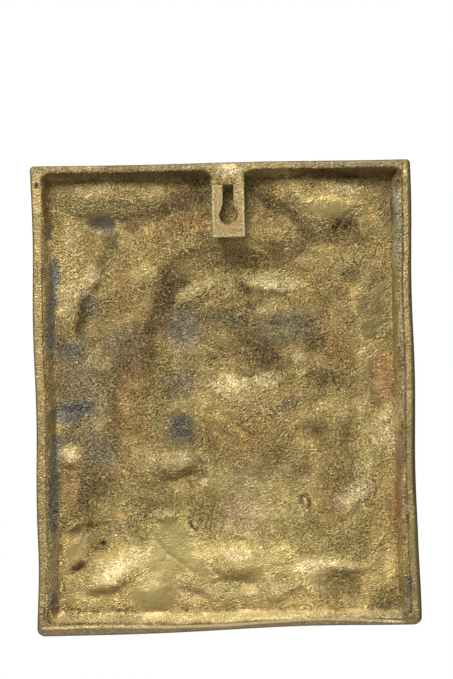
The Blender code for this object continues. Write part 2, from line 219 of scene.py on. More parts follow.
# Finer hand-pressed forms. Places and half sizes are pixels of the photograph, the turn is in
# degrees anticlockwise, and the amount is the rise towards the camera in millimetres.
LUMPS = {
    "gutter under the top wall, left": Mark(122, 173, 80, 9, -0.6, 1),
    "pad below it": Mark(106, 203, 66, 21, 1.1, 2),
    "pad's right end": Mark(150, 200, 34, 14, 0.1, 8),
    "gutter under the top wall, right": Mark(330, 172, 72, 8, -0.6),
    "upper right pad": Mark(340, 202, 62, 20, 0.8, 2),
    "knob at the upper right": Mark(371, 201, 22, 12, 0.75, -20),
    "dull dent": Mark(99, 232, 25, 17, -1.26, 10),
    "left pillow's top": Mark(65, 251, 11, 28, 0.41, -6),
    "left pillow's foot": Mark(74, 322, 13, 26, 1.01, -8),
    "shade beside the left pillow": Mark(85, 321, 9, 24, -0.5, -20),
    "band's bright shoulder": Mark(95, 277, 30, 11, 0.92, 48),
    "band levelled above": Mark(155, 227, 46, 10, -1.02, 22),
    "band levelled by the hanger": Mark(193, 212, 24, 9, -1.16, 6),
    "fold left of the hanger": Mark(180, 238, 34, 9, 0.6, 14),
    "valley left of the hanger": Mark(202, 202, 16, 9, -0.98, -30),
    "valley right of the hanger": Mark(282, 209, 34, 10, -1.5, -33),
    "lobe right of the hanger": Mark(273, 230, 26, 20, 0.91),
    "brow under the hanger": Mark(232, 238, 70, 9, 0.45, -2),
    "brow's shade": Mark(238, 262, 74, 17, -0.35, -3),
    "brow's left end": Mark(188, 259, 24, 10, 0.71, 38),
    "left shade of the hollow": Mark(162, 312, 13, 40, -0.75, 8),
    "notch at the upper right": Mark(345, 231, 26, 11, -1.09, 12),
    "step below the notch": Mark(348, 255, 24, 11, 1.04, -8),
    "right pillow's edge": Mark(373, 242, 6, 34, 0.79, -4),
    "left crest": Mark(206, 288, 36, 11, 0.9, 24),
    "tongue right of the crest": Mark(305, 266, 15, 9, 1.27, -20),
    "right crest": Mark(272, 284, 40, 11, 0.85, -4),
    "cleft between the crests": Mark(246, 293, 9, 13, -0.8, 35),
    "knuckle below the right crest": Mark(270, 316, 17, 9, 0.7, 20),
    "dark dip": Mark(296, 327, 34, 13, -0.7, 6),
    "dip left of it": Mark(234, 320, 20, 11, -0.82),
    "streaked swell on the left": Mark(189, 358, 24, 15, 0.45, 12),
    "dip below it": Mark(182, 394, 20, 20, -0.79),
    "triangle": Mark(298, 363, 15, 8, 0.89, -10),
    "dip right of the middle": Mark(269, 360, 26, 13, -1.39),
    "bright step": Mark(252, 405, 52, 21, 0.95, -4),
    "lead spot's pit": Mark(249, 391, 7, 7, -0.99, 30),
    "right end of the step": Mark(286, 391, 16, 12, 0.72, -30),
    "ripple on the right": Mark(333, 408, 30, 7, 0.69, 28),
    "dark patch on the right": Mark(317, 435, 22, 9, -0.6),
    "ledge below it": Mark(326, 444, 30, 8, 0.69, 6),
    "mound's edge": Mark(225, 426, 26, 10, 0.49, -30),
    "blue dip": Mark(180, 432, 19, 20, -1.29),
    "bump below the blue dip": Mark(176, 470, 30, 11, 0.85, 6),
    "shade below the bump": Mark(162, 486, 30, 9, -0.4, 8),
    "pale swell": Mark(188, 464, 14, 14, 0.62),
    "cream spot on the left": Mark(68, 462, 13, 10, 1.01),
    "blue arc": Mark(73, 412, 26, 9, -0.88, 14),
    "dark spot on the left": Mark(113, 430, 9, 10, -0.59),
    "pitted dip on the left": Mark(98, 494, 15, 14, -0.79, -10),
    "step at the lower left": Mark(164, 517, 20, 8, 1, 8),
    "cleft before the step": Mark(144, 520, 7, 12, -0.9, -25),
    "rusty arc": Mark(86, 531, 30, 8, -0.88, 12),
    "oval stain's dip": Mark(79, 572, 16, 7, -0.99, 28),
    "bright slope": Mark(118, 580, 36, 13, 1.1, 28),
    "hollow above the slope": Mark(101, 555, 26, 12, -0.98, 22),
    "dark spots below the slope": Mark(97, 596, 12, 8, -0.35, 25),
    "lower middle pad": Mark(155, 596, 24, 15, 0.66, -5),
    "ridge of the lower middle": Mark(239, 569, 38, 13, 0.91),
    "shade under the ridge": Mark(241, 586, 40, 10, -0.79),
    "lilac dip": Mark(194, 597, 22, 9, -0.61, -22),
    "pale fold": Mark(277, 595, 12, 13, 0.78, -20),
    "brown fold": Mark(299, 596, 12, 11, -0.71),
    "dent at the lower right": Mark(345, 590, 26, 16, -0.96, -8),
    "lip above the dent": Mark(347, 569, 30, 7, 0.68, -6),
    "long streak, upper part": Mark(388, 443, 34, 15, 0.95, 64),
    "long streak, middle": Mark(369, 486, 34, 14, 0.98, 60),
    "long streak, lower part": Mark(349, 509, 26, 11, 0.79, 40),
    "shade left of the streak": Mark(352, 461, 26, 8, -0.61, 62),
    "rust dip": Mark(327, 517, 10, 13, -0.69, -20),
    "dip at the right wall": Mark(393, 502, 8, 26, -0.61),
    "gold swell on the left": Mark(135, 445, 22, 38, 0.58),
    "dark cleft right of the left edge": Mark(164, 338, 5, 26, -0.7, 4),
    "shade above the bump": Mark(162, 451, 20, 9, -0.71, 4),
    "shade above the ridge": Mark(244, 546, 36, 8, -0.59),
    "bright step, left lobe": Mark(228, 393, 18, 10, 0.78, -8),
    "bright step, right lobe": Mark(270, 384, 16, 9, 0.68, 10),
}
RIPPLES = {
    "fold left of the pillow": Stroke(((65, 262), (76, 254), (86, 250)), 1.6, -0.5),
    "crease left of the hanger": Stroke(((172, 216), (186, 208), (196, 212)), 1.6, -0.6),
    "crease under it": Stroke(((160, 236), (182, 228), (208, 232)), 1.8, 0.5),
    "edge of the hollow, left": Stroke(((178, 262), (170, 282), (164, 308)), 2.2, -0.5),
    "edge of the mound": Stroke(((204, 428), (211, 452), (216, 498)), 2.2, -0.5),
    "line under the triangle": Stroke(((280, 356), (296, 352), (308, 362)), 1.4, 0.5),
    "ledge line, lower left": Stroke(((146, 509), (160, 506), (176, 504)), 1.6, 0.6),
    "line from the ledge": Stroke(((130, 520), (150, 534), (168, 556), (196, 576)), 1.8, -0.2),
    "upright seam on the left": Stroke(((58, 465), (57, 520), (59, 560), (68, 588)), 1.5, -0.6),
    "seam at the lower wall": Stroke(((112, 612), (128, 612), (146, 622)), 1.4, -0.5),
    "wandering crack, lower right": Stroke(((290, 604), (312, 598), (322, 606)), 1.2, -0.4),
}
PITS = {
    "slanted pit": Mark(192.5, 526, 4.4, 8.5, -1.1, 30),
    "bright core of the slanted pit": Mark(194.5, 525.5, 3.6, 6.2, 1.4, 30),
    "ring pit": Mark(306, 503, 4.8, 8.4, -1.3, 18),
    "core of the ring pit": Mark(306, 503, 2.8, 5.6, 1.5, 18),
    "pit beside the ring": Mark(314, 524, 2.2, 2.2, -0.9),
    "pit cluster": Mark(102, 545, 4.5, 5.5, -1.0),
    "pit in the left rim": Mark(36.5, 186, 3.0, 5.0, -1.8),
    "pit under it": Mark(35.5, 221, 1.6, 2.4, -0.8),
    "pit in the right rim": Mark(404, 184, 2.4, 1.6, -0.9),
    "pit in the bottom rim": Mark(186, 630, 1.6, 1.6, -0.9),
    "pit near the lower right corner": Mark(408, 613, 1.8, 1.4, -0.9),
    "dot on the left": Mark(94, 553, 1.4, 1.2, -0.5),
    "dot in the middle": Mark(257, 521, 1.2, 1.2, -0.5),
    "dot below the middle": Mark(288, 566, 1.3, 1.3, -0.5),
    "dot on the fold": Mark(185, 592, 1.4, 1.4, -0.5),
}

# Patches of tone, in the photograph's pixels; the amount is how strongly each shows. They are partly
# the patina and partly painted light and shade on the relief, as each tone's table says.
# The smooth areas aren't a tone: there the grain is calm.
PATINA_AND_PAINTED_LIGHT = {}
# The shade tone is partly dark olive patina and partly painted shade: on the lower sides of pads, crests
# and dips, in the valleys and notches, and along the brow under the strap
PATINA_AND_PAINTED_LIGHT["shade"] = {
    "broad band of the brow": Stroke(((196, 258), (178, 272), (164, 296), (156, 326)), 13, 0.95),
    "brow": Stroke(((300, 246), (286, 258), (240, 260), (200, 258)), 10, 0.45),
    "pad's lower side": Stroke(((90, 207), (130, 208), (165, 204), (200, 190)), 9, 0.8),
    "by the hanger": Mark(204, 208, 9, 16, 0.9),
    "band inside the left pillow": Stroke(((112, 236), (98, 268), (86, 300), (80, 334)), 9, 0.6),
    "left of the hollow": Stroke(((140, 330), (136, 356), (122, 392)), 16, 0.4),
    "hollow's left side": Stroke(((150, 332), (148, 392)), 9, 0.5),
    "valley right of the hanger": Stroke(((254, 190), (282, 206), (304, 226)), 9, 0.7),
    "upper right notch": Stroke(((304, 236), (326, 238), (350, 222)), 10, 0.6),
    "dark dip": Mark(290, 320, 34, 12, 0.6, 6),
    "middle of the hollow": Stroke(((200, 312), (236, 322), (262, 346), (274, 364)), 13, 0.6),
    "right of the middle": Mark(322, 376, 26, 14, 0.9),
    "right shoulder": Mark(378, 300, 22, 50, 0.9),
    "right side": Mark(374, 376, 20, 40, 0.6),
    "right of the patch": Mark(350, 432, 16, 18, 0.5),
    "dark patch": Mark(312, 430, 24, 13, 0.5),
    "under the mound": Mark(284, 470, 50, 26, 0.55),
    "left of the mound": Mark(214, 484, 14, 24, 0.5),
    "under the left bump": Mark(160, 480, 32, 11, 0.25, 8),
    "upper right": Mark(388, 204, 11, 30, 1.0),
    "knob's side": Mark(316, 342, 14, 12, 1),
    "lower left dent": Stroke(((64, 528), (90, 522), (118, 530)), 10, 0.2),
    "hollow above the slope": Mark(92, 548, 24, 12, 0.7, 20),
    "lower right dent": Mark(344, 584, 26, 14, 0.4, -8),
    "left of the ring pit": Mark(236, 494, 36, 20, 0.15),
    "above the ridge": Mark(150, 548, 12, 24, 0.8),
    "left patch": Mark(76, 492, 22, 30, 0.7),
    "top of the tray, left end": Mark(50, 200, 6, 22, 0.4),
    "top of the hollow": Mark(204, 264, 36, 9, 0.6, 12),
    "left of the blue dip": Mark(157, 415, 9, 18, 0.35),
    "left of the strap": Mark(184, 222, 22, 9, 0.6, 12),
    "right lobe": Mark(268, 222, 20, 18, 0.3),
    "right pillow": Mark(368, 318, 20, 26, 0.5),
    "above the mound": Mark(262, 236, 30, 6, 0.3),
    "right end of the dull dent": Mark(130, 226, 13, 8, 0.8),
    "left end of the dull dent": Mark(78, 228, 8, 8, 0.6),
    "fold left of the hanger": Mark(203, 236, 12, 7, 0.6),
    "left crest's end": Mark(187, 283, 11, 9, 0.4),
    "valley's far side": Mark(301, 205, 13, 9, 0.9),
    "right shoulder, high": Mark(354, 273, 12, 10, 0.6),
    "beside the tongue": Mark(322, 280, 8, 8, 0.4),
    "under the right crest": Mark(254, 302, 15, 7, 0.8),
    "streaked swell's top": Mark(189, 345, 9, 6, 0.5),
    "above the bright step": Mark(215, 358, 13, 6, 0.5),
    "right of the left bump": Mark(194, 485, 8, 6, 0.7),
    "rusty arc": Mark(76, 536, 12, 8, 1.0),
    "left edge of the smooth field": Mark(149, 560, 9, 22, 1.0),
    "above the lip": Mark(300, 558, 10, 7, 0.7),
    "pale fold's foot": Mark(278, 586, 8, 6, 0.5),
    "left of the long streak": Mark(360, 478, 8, 8, 0.6),
    "upper right pad's end": Mark(358, 232, 6, 9, 0.5),
    "left of the lower wall": Mark(66, 614, 8, 4, 0.5),
    "left ground, spots": Stroke(((101, 318), (105, 360)), 6, 0.35),
    "dull dent's lower side": Mark(108, 240, 18, 8, 0.5),
    "band beside the hollow": Mark(140, 306, 8, 14, 0.6),
    "top of that band": Mark(129, 274, 14, 16, 0.3),
    "dark dip's lower side": Mark(282, 342, 16, 8, 0.6),
    "left of the upper right pad": Mark(292, 198, 9, 9, 0.6),
    "under the valley": Mark(310, 252, 14, 7, 0.4),
    "left of the right shoulder": Mark(345, 298, 10, 16, 0.4),
    "beside the long streak": Mark(372, 426, 9, 18, 0.5),
    "oval stain's right end": Mark(80, 575, 10, 6, 0.5),
    "lower right dent's foot": Mark(356, 598, 10, 8, 0.5),
    "pale fold's left": Mark(242, 590, 10, 5, 0.5),
    "spot on the left": Mark(113, 430, 10, 13, 0.6),
    "left ground, top": Mark(104, 328, 18, 6, 0.4),
    "brow, left part": Stroke(((166, 274), (182, 258), (226, 253)), 10, 0.9),
    "left crest, right end": Mark(226, 262, 16, 6, 0.3),
    "under the upper right pad": Mark(356, 214, 10, 10, 0.5),
    "top rim, right part": Stroke(((340, 163), (400, 162)), 3.5, 0.5),
    "foot of the band beside the hollow": Mark(131, 326, 9, 9, 0.5),
    "dip above the blue dip": Mark(193, 379, 8, 16, 0.6),
    "over the arc": Mark(100, 416, 12, 8, 0.4),
    "mound's left edge": Mark(212, 471, 8, 8, 0.4),
    "right edge of the smooth field": Mark(186, 549, 7, 10, 0.4),
    "right ground, low": Mark(382, 556, 8, 18, 0.4),
}
# Gold is partly brighter brass and partly painted light: on crests, shoulders and lips that face the
# lamps, on the lit walls, and a pool of light under the strap that lifts its shadow
PATINA_AND_PAINTED_LIGHT["gold"] = {
    "lower ground": Mark(210, 562, 175, 52, 0.81),
    "upper left pad": Mark(118, 190, 70, 10, 0.35),
    "left pillow": Mark(70, 262, 20, 62, 0.61, -6),
    "upper right pad": Mark(330, 198, 54, 18, 0.4),
    "right side": Mark(378, 470, 26, 90, 0.49),
    "mound": Mark(240, 404, 52, 30, 0.63),
    "band left of the hollow": Mark(130, 262, 30, 50, 0.08, 10),
    "left bump": Mark(150, 440, 26, 40, 0.32),
    "right of the middle": Mark(326, 358, 30, 17, 0.2, 20),
    "ripple": Mark(325, 408, 30, 9, 0.48, 15),
    "along the lower wall": Mark(120, 602, 80, 11, 0.9),
    "lip above the dent": Mark(330, 565, 34, 9, 0.9, -4),
    "bottom wall": Stroke(((58, 618), (230, 619), (400, 615)), 6, 0.98),
    "lower right ground": Mark(325, 605, 50, 10, 0.8),
    "left wall's foot": Mark(54, 240, 8, 12, 0.6),
    "left ground": Mark(90, 388, 24, 14, 0.8),
    "triangle": Mark(300, 371, 10, 6, 0.7),
    "long streak's foot": Mark(356, 511, 17, 8, 0.8, 25),
    "lower middle pad's foot": Mark(154, 599, 16, 6, 1.0),
    "right wall, low": Mark(392, 560, 9, 36, 0.8),
    "lobe's right end": Stroke(((276, 208), (300, 238)), 6, 0.5),
    "middle of the hollow": Mark(218, 338, 12, 6, 0.4),
    "ripple's lower side": Mark(336, 413, 15, 5, 0.5, 20),
    "under the strap": Mark(240, 249, 26, 10, 1.2),
    "fold left of the hanger": Mark(180, 238, 9, 5, 0.6),
    "right of the left bump": Mark(226, 490, 12, 9, 0.4),
    "step at the lower left": Mark(160, 520, 16, 8, 0.5),
    "lower middle, right": Mark(308, 543, 22, 10, 0.5),
    "hollow's left edge": Mark(160, 372, 5, 24, 0.5),
    "under the notch": Mark(356, 252, 14, 8, 0.5),
    "right crest's top": Mark(282, 272, 22, 5, 0.5),
    "band's shoulder, top": Mark(104, 250, 6, 14, 0.5, -30),
    "line before the smooth field": Stroke(((118, 500), (146, 530)), 6, 0.5),
    "left of the right wall": Mark(352, 525, 12, 15, 0.6),
    "beside the ring pit": Mark(282, 514, 30, 9, 0.4),
    "right wall, foot": Mark(404, 540, 4, 42, 0.6),
    "lower left corner": Mark(66, 588, 8, 18, 0.4),
    "right of the middle, lower": Mark(330, 357, 8, 7, 0.4),
    "over the ripple": Mark(308, 381, 14, 7, 0.4),
    "right wall, middle": Mark(399, 300, 4, 14, 0.5),
    "between the crests": Mark(222, 286, 10, 6, 0.5),
    "dip's upper side": Mark(222, 322, 13, 7, 0.4),
}
# Silver paints light on the side walls and a highlight at the lower right corner; it also gives a
# green-grey spot on the left wall and a pale patch on the neck
PATINA_AND_PAINTED_LIGHT["silver"] = {
    "right wall, upper part": Stroke(((397, 190), (399, 230), (400, 262)), 5, 0.55),
    "right wall, middle": Stroke(((401, 270), (402, 330), (403, 415)), 4, 0.2),
    "left wall, lower part": Stroke(((54, 440), (54, 605)), 4.5, 0.45),
    "left wall, upper part": Stroke(((52, 250), (53, 350)), 4.5, 0.1),
    "neck": Mark(228, 170, 15, 6, 0.35),
    "lower right corner": Mark(406, 611, 6, 5, 0.9),
    "left wall, green-grey spot": Mark(49, 240, 2.5, 10, 0.6),
}
# Umber is partly dark patina, such as the oval stain, the rusty arc and the spots, and partly painted
# shade: along the top wall and the side walls, under the pads, in the valleys and dips and along the
# brow
PATINA_AND_PAINTED_LIGHT["umber"] = {
    "inner edge of the band": Stroke(((108, 244), (92, 272), (84, 298), (78, 330)), 5, 0.54),
    "left dark patch": Mark(148, 345, 12, 30, 0.44, 10),
    "brow's shade": Stroke(
        ((308, 232), (298, 248), (268, 258), (232, 256), (200, 258), (178, 272), (162, 300)), 13, 0.44
    ),
    "left side of the hollow, low": Stroke(((168, 300), (164, 340), (162, 385)), 8, 0.35),
    "dark dip's shade": Mark(262, 338, 56, 14, 0.45, 4),
    "valley right of the hanger": Mark(278, 206, 34, 7, 0.72, -33),
    "upper right notch": Mark(340, 224, 24, 9, 0.7, 10),
    "dip by the left pillow": Mark(82, 310, 8, 24, 0.4, -20),
    "right wall, upper part": Mark(397, 178, 5, 12, 0.67),
    "right wall, lower part": Mark(401, 456, 5, 30, 0.75),
    "pitted dip": Mark(99, 488, 14, 14, 0.81),
    "oval stain": Mark(77, 568, 15, 6.5, 1, 28),
    "rusty arc": Mark(84, 528, 30, 7, 0.3, 12),
    "spots below the slope": Mark(98, 594, 11, 7, 0.4, 25),
    "lower right dent": Mark(344, 584, 24, 14, 0.3, -8),
    "right patch": Mark(314, 432, 20, 8, 0.3),
    "spot on the left": Mark(113, 410, 9, 22, 0.63),
    "cleft between the crests": Mark(245, 288, 7, 12, 0.8, 35),
    "left ground": Mark(128, 368, 20, 22, 0.47),
    "under the mound": Mark(285, 455, 18, 12, 0.25),
    "left side of the hollow": Stroke(((164, 275), (154, 300), (150, 330)), 10, 0.42),
    "dip right of the middle": Mark(266, 355, 21, 11, 0.7),
    "shade above the bump": Mark(160, 446, 20, 9, 0.25, 4),
    "right side": Mark(380, 380, 14, 38, 0.46),
    "below the patch": Mark(330, 456, 34, 12, 0.39),
    "right of the bump": Mark(200, 476, 16, 9, 0.4),
    "shade above the ridge": Stroke(((208, 528), (216, 542), (262, 541), (300, 545)), 7, 0.1),
    "hollow above the slope": Mark(94, 550, 17, 10, 0.35, 20),
    "brown fold": Mark(282, 580, 9, 8, 0.45),
    "top wall, left": Stroke(((50, 173), (206, 173)), 5, 0.6),
    "top wall, right": Stroke(((292, 171), (398, 171)), 5, 0.7),
    "dark diagonal": Stroke(((72, 210), (110, 216), (158, 212), (204, 194)), 8, 0.86),
    "left wall, upper part": Stroke(((43, 176), (45, 215), (47, 238)), 4, 0.7),
    "right wall, dark spot": Mark(402, 427, 3, 9, 0.6),
}
PATINA_AND_PAINTED_LIGHT["grey"] = {
    "dull dent": Mark(100, 222, 22, 15, 0.98, 8),
    "left ground": Mark(88, 375, 40, 45, 0.24),
    "left of the hollow": Mark(122, 345, 24, 26, 0.68),
    "upper left of the hollow": Mark(186, 325, 26, 32, 0.75),
    "dark dip": Mark(288, 328, 42, 20, 0.76, 4),
    "dip left of it": Mark(232, 318, 22, 14, 0.58),
    "lower right corner": Mark(408, 588, 6, 17, 1.1),
    "along the lower wall": Mark(388, 608, 20, 5, 0.5),
    "lower left ground": Mark(120, 500, 18, 22, 0.11),
    "under the ridge": Mark(236, 586, 46, 14, 0.3),
    "middle, low": Mark(250, 490, 30, 30, 0.44),
    "top rim": Stroke(((38, 165), (396, 162)), 4, 0.5),
    "bottom rim": Stroke(((44, 632), (200, 632), (404, 628)), 5, 0.5),
}
PATINA_AND_PAINTED_LIGHT["dull_blue"] = {
    "upper strip by the left wall": Stroke(((52, 262), (54, 282), (51, 312), (50, 345)), 5.5, 1.0),
    "below that strip": Mark(68, 350, 24, 12, 0.69, 10),
    "spot by the pillow": Mark(92, 306, 9, 13, 0.55, -15),
    "arc on the left": Mark(70, 412, 28, 12, 0.82, 14),
    "pale end of the arc": Mark(60, 440, 14, 9, 0.55),
    "lower strip by the left wall": Stroke(((54, 440), (53, 480), (53, 530)), 6, 0.85),
    "strip in the lower left corner": Mark(54, 602, 6, 14, 0.9),
    "speckled field": Mark(98, 455, 22, 24, 0.6),
    "blue dip": Mark(181, 429, 19, 20, 0.9),
    "lilac swell": Mark(186, 458, 15, 16, 0.3),
    "dip above it": Mark(180, 386, 20, 22, 0.54),
    "left middle": Mark(75, 385, 30, 30, 0.08),
    "spot by the lower right dent": Mark(320, 584, 6, 4, 0.5),
    "lead spot": Mark(248, 393, 8, 6, 0.5, 30),
    "spot by the notch": Mark(318, 222, 9, 6, 0.6),
    "lower left spot": Mark(120, 528, 12, 8, 0.3),
    "spot on the right": Mark(370, 487, 6, 5, 0.6),
    "spot right of the step": Mark(290, 403, 10, 8, 0.51),
    "broad field on the left": Mark(82, 400, 32, 66, 0.42),
    "widest part of that strip": Mark(55, 274, 6, 14, 0.8),
    "left side of the hollow": Mark(182, 335, 20, 26, 0.45),
    "dull dent": Mark(106, 222, 14, 10, 0.5),
}
PATINA_AND_PAINTED_LIGHT["olive"] = {
    "smooth field": Mark(172, 540, 28, 38, 0.75, -10),
    "lower middle": Mark(152, 595, 24, 22, 0.5),
    "low middle": Mark(275, 500, 36, 28, 0.38),
    "right pillow": Mark(368, 325, 20, 22, 0.25),
    "left of the blue dip": Mark(157, 415, 10, 18, 0.67),
    "upper right pad": Mark(340, 207, 30, 12, 0.48),
    "lower left": Mark(110, 500, 16, 18, 0.35),
    "right of the pale swell": Mark(214, 470, 10, 34, 0.53, 5),
    "top of the hollow": Mark(205, 264, 40, 13, 0.48, 12),
    "upper left pad's shade": Mark(100, 210, 50, 8, 0.56),
    "left of the neck": Mark(206, 182, 9, 12, 0.97),
    "right of the neck": Mark(252, 180, 7, 9, 0.84),
    "neck's left slope": Mark(215, 179, 6, 9, 0.8),
    "neck's right slope": Mark(239, 180, 5, 8, 0.7),
    "lower strip, olive part": Mark(53, 552, 5.5, 22, 0.6),
    "lower right ground": Mark(300, 545, 60, 40, 0.3),
}
PATINA_AND_PAINTED_LIGHT["rust"] = {
    "left of the hanger": Mark(182, 222, 28, 9, 0.5, 12),
    "band left of the hollow": Mark(122, 295, 18, 38, 0.4),
    "smooth patch on the left": Mark(70, 495, 14, 34, 0.45),
    "spot under the knuckle": Mark(262, 328, 8, 6, 0.2),
    "spot on the right": Mark(330, 355, 9, 6, 0.79),
    "dip by the ring pit": Mark(326, 510, 9, 12, 0.69, -20),
    "cleft": Mark(141, 517, 5, 6, 0.2),
    "lower right corner": Mark(405, 615, 9, 5, 0.4),
    "right ground": Mark(386, 375, 13, 38, 0.64),
    "right shoulder": Mark(345, 295, 16, 20, 0.42),
    "golden swell": Mark(132, 425, 22, 48, 0.41),
    "below the slope": Mark(112, 592, 28, 9, 0.6, 10),
    "mound": Mark(240, 432, 50, 34, 0.43),
    "along the right wall": Mark(396, 515, 8, 62, 0.46),
    "right lobe": Mark(268, 225, 22, 20, 0.23),
    "left wall, reddish spots": Mark(47, 206, 3, 9, 0.6),
    "right wall, low": Mark(398, 505, 5, 26, 0.5),
    "right of the middle": Mark(340, 350, 30, 24, 0.35),
    "left of the middle": Mark(128, 380, 16, 34, 0.3),
    "brow": Stroke(((180, 262), (220, 256), (284, 256)), 9, 0.3),
}
PATINA_AND_PAINTED_LIGHT["pink"] = {
    "right fold": Mark(352, 498, 28, 15, 0.5, 30),
    "right pillow": Mark(372, 298, 18, 20, 0.1),
    "under the bright step": Mark(255, 410, 28, 10, 0.48),
    "right wall": Mark(404, 512, 4, 52, 0.7),
    "lilac dip": Mark(190, 592, 22, 9, 0.55, -22),
    "low middle": Mark(246, 516, 30, 30, 0.45),
    "neck": Mark(230, 171, 16, 7, 0.7),
    "bottom rim": Stroke(((44, 632), (200, 632), (404, 628)), 5, 0.4),
    "right wall, middle": Mark(400, 452, 5, 28, 0.49),
}
# Cream paints highlights on the crests, ridges, shoulders and slopes that face the lamps and on the
# upward-facing bottom wall; it also gives a few pale spots and the pale neck
PATINA_AND_PAINTED_LIGHT["cream"] = {
    "upper left pad": Mark(92, 189, 38, 8, 0.4, 3),
    "band's shoulder": Mark(84, 282, 30, 11, 0.6, 55),
    "left pillow": Mark(70, 238, 12, 24, 0.3),
    "left pillow's foot": Mark(66, 305, 9, 26, 0.41),
    "left crest": Mark(204, 284, 32, 7, 0.55, 22),
    "right crest": Mark(274, 281, 36, 10, 1, -6),
    "tongue": Mark(302, 260, 11, 5, 0.3),
    "knuckle": Mark(268, 311, 13, 6, 0.4, 20),
    "bright step": Mark(230, 386, 27, 13, 1.1, -8),
    "cream spot": Mark(70, 454, 14, 11, 0.9),
    "left bump": Mark(172, 460, 28, 9, 0.5, 6),
    "bright slope": Mark(120, 568, 36, 12, 1.0, 32),
    "ridge": Mark(236, 556, 20, 8, 1.2),
    "long streak, upper part": Mark(386, 424, 32, 12, 0.59, 64),
    "long streak, middle": Mark(366, 468, 26, 12, 0.37, 60),
    "long streak, lower part": Mark(355, 494, 26, 12, 0.9, 36),
    "small spot": Mark(204, 484, 6, 5, 0.79),
    "below the notch": Mark(352, 258, 15, 12, 0.1),
    "lower middle pad": Mark(152, 590, 20, 14, 0.15),
    "pale fold": Mark(279, 592, 10, 12, 0.5),
    "upper right pad": Mark(345, 187, 34, 6, 0.5),
    "triangle": Mark(300, 357, 9, 6, 0.56),
    "streaked swell": Mark(186, 350, 20, 9, 0.2, 12),
    "ripple": Mark(330, 400, 22, 6, 0.15, 28),
    "streak by the wall": Mark(390, 436, 9, 18, 0.7),
    "step at the lower left": Mark(161, 514, 16, 5, 0.54, 8),
    "bright step, right lobe": Mark(268, 380, 18, 10, 0.9, 10),
    "bright step, far left": Mark(207, 371, 9, 6, 0.3),
    "lip above the dent": Mark(312, 568, 24, 8, 1.1),
    "bottom wall": Stroke(((58, 618), (230, 619), (400, 615)), 5, 0.85),
    "below the lip": Mark(345, 566, 20, 6, 0.7),
    "neck": Mark(229, 171, 15, 7, 0.6),
}
PATINA_AND_PAINTED_LIGHT["smooth"] = {
    "dull dent": Mark(100, 222, 22, 15, 1.0, 8),
    "smooth field": Mark(170, 545, 28, 40, 1.0, -10),
    "lower middle": Mark(152, 598, 28, 24, 0.8),
    "upper right pad": Mark(326, 206, 30, 15, 0.9),
    "right pillow": Mark(370, 305, 24, 48, 0.9),
    "lower left": Mark(74, 548, 14, 30, 0.8),
    "left patch": Mark(70, 490, 12, 32, 0.7),
    "low middle": Mark(262, 500, 62, 42, 0.7),
    "under the mound": Mark(310, 455, 44, 18, 0.5),
    "right side, low": Mark(385, 560, 20, 30, 0.5),
    "right side, high": Mark(384, 215, 12, 40, 0.6),
    "left pad": Mark(96, 598, 30, 14, 0.5),
    "lower ground": Mark(230, 580, 170, 56, 0.65),
    "left lower ground": Mark(90, 570, 44, 50, 0.35),
    "above the arc": Mark(130, 260, 30, 30, 0.3),
    "right of the hollow": Mark(372, 370, 26, 50, 0.5),
    "lobe right of the hanger": Mark(270, 225, 22, 16, 0.4),
}

# Thin lines, spots and crumbs, whose outlines don't wander; some paint highlights and shade, as below
LINES = {}
# The cream lines paint highlights: along the bottom rim's bead, on the pits' cores and lips and at the
# top of the right rim
LINES["cream"] = {
    "bright line of the bottom rim": Stroke(
        (
            (46, 627), (66, 626.5), (86, 625.4), (124, 625.6), (167, 626.4), (228, 626.4),
            (262, 624.8), (288, 623.8), (303, 622.5), (338, 622), (376, 623.1), (400, 624),
        ),
        2.0,
        1.6,
    ),
    "second line": Stroke(((200, 615), (226, 615.6), (250, 613.4), (266, 617), (286, 620)), 1.6, 0.8),
    "core of the ring pit": Mark(306, 503, 2.6, 5.2, 1.4, 18),
    "core of the slanted pit": Mark(194.5, 525.5, 3.2, 5.4, 1.6, 30),
    "lower lip of the ring pit": Mark(307, 512, 3.0, 1.8, 1.2),
    "top of the right rim": Mark(404, 171, 1.8, 3, 1.0),
}
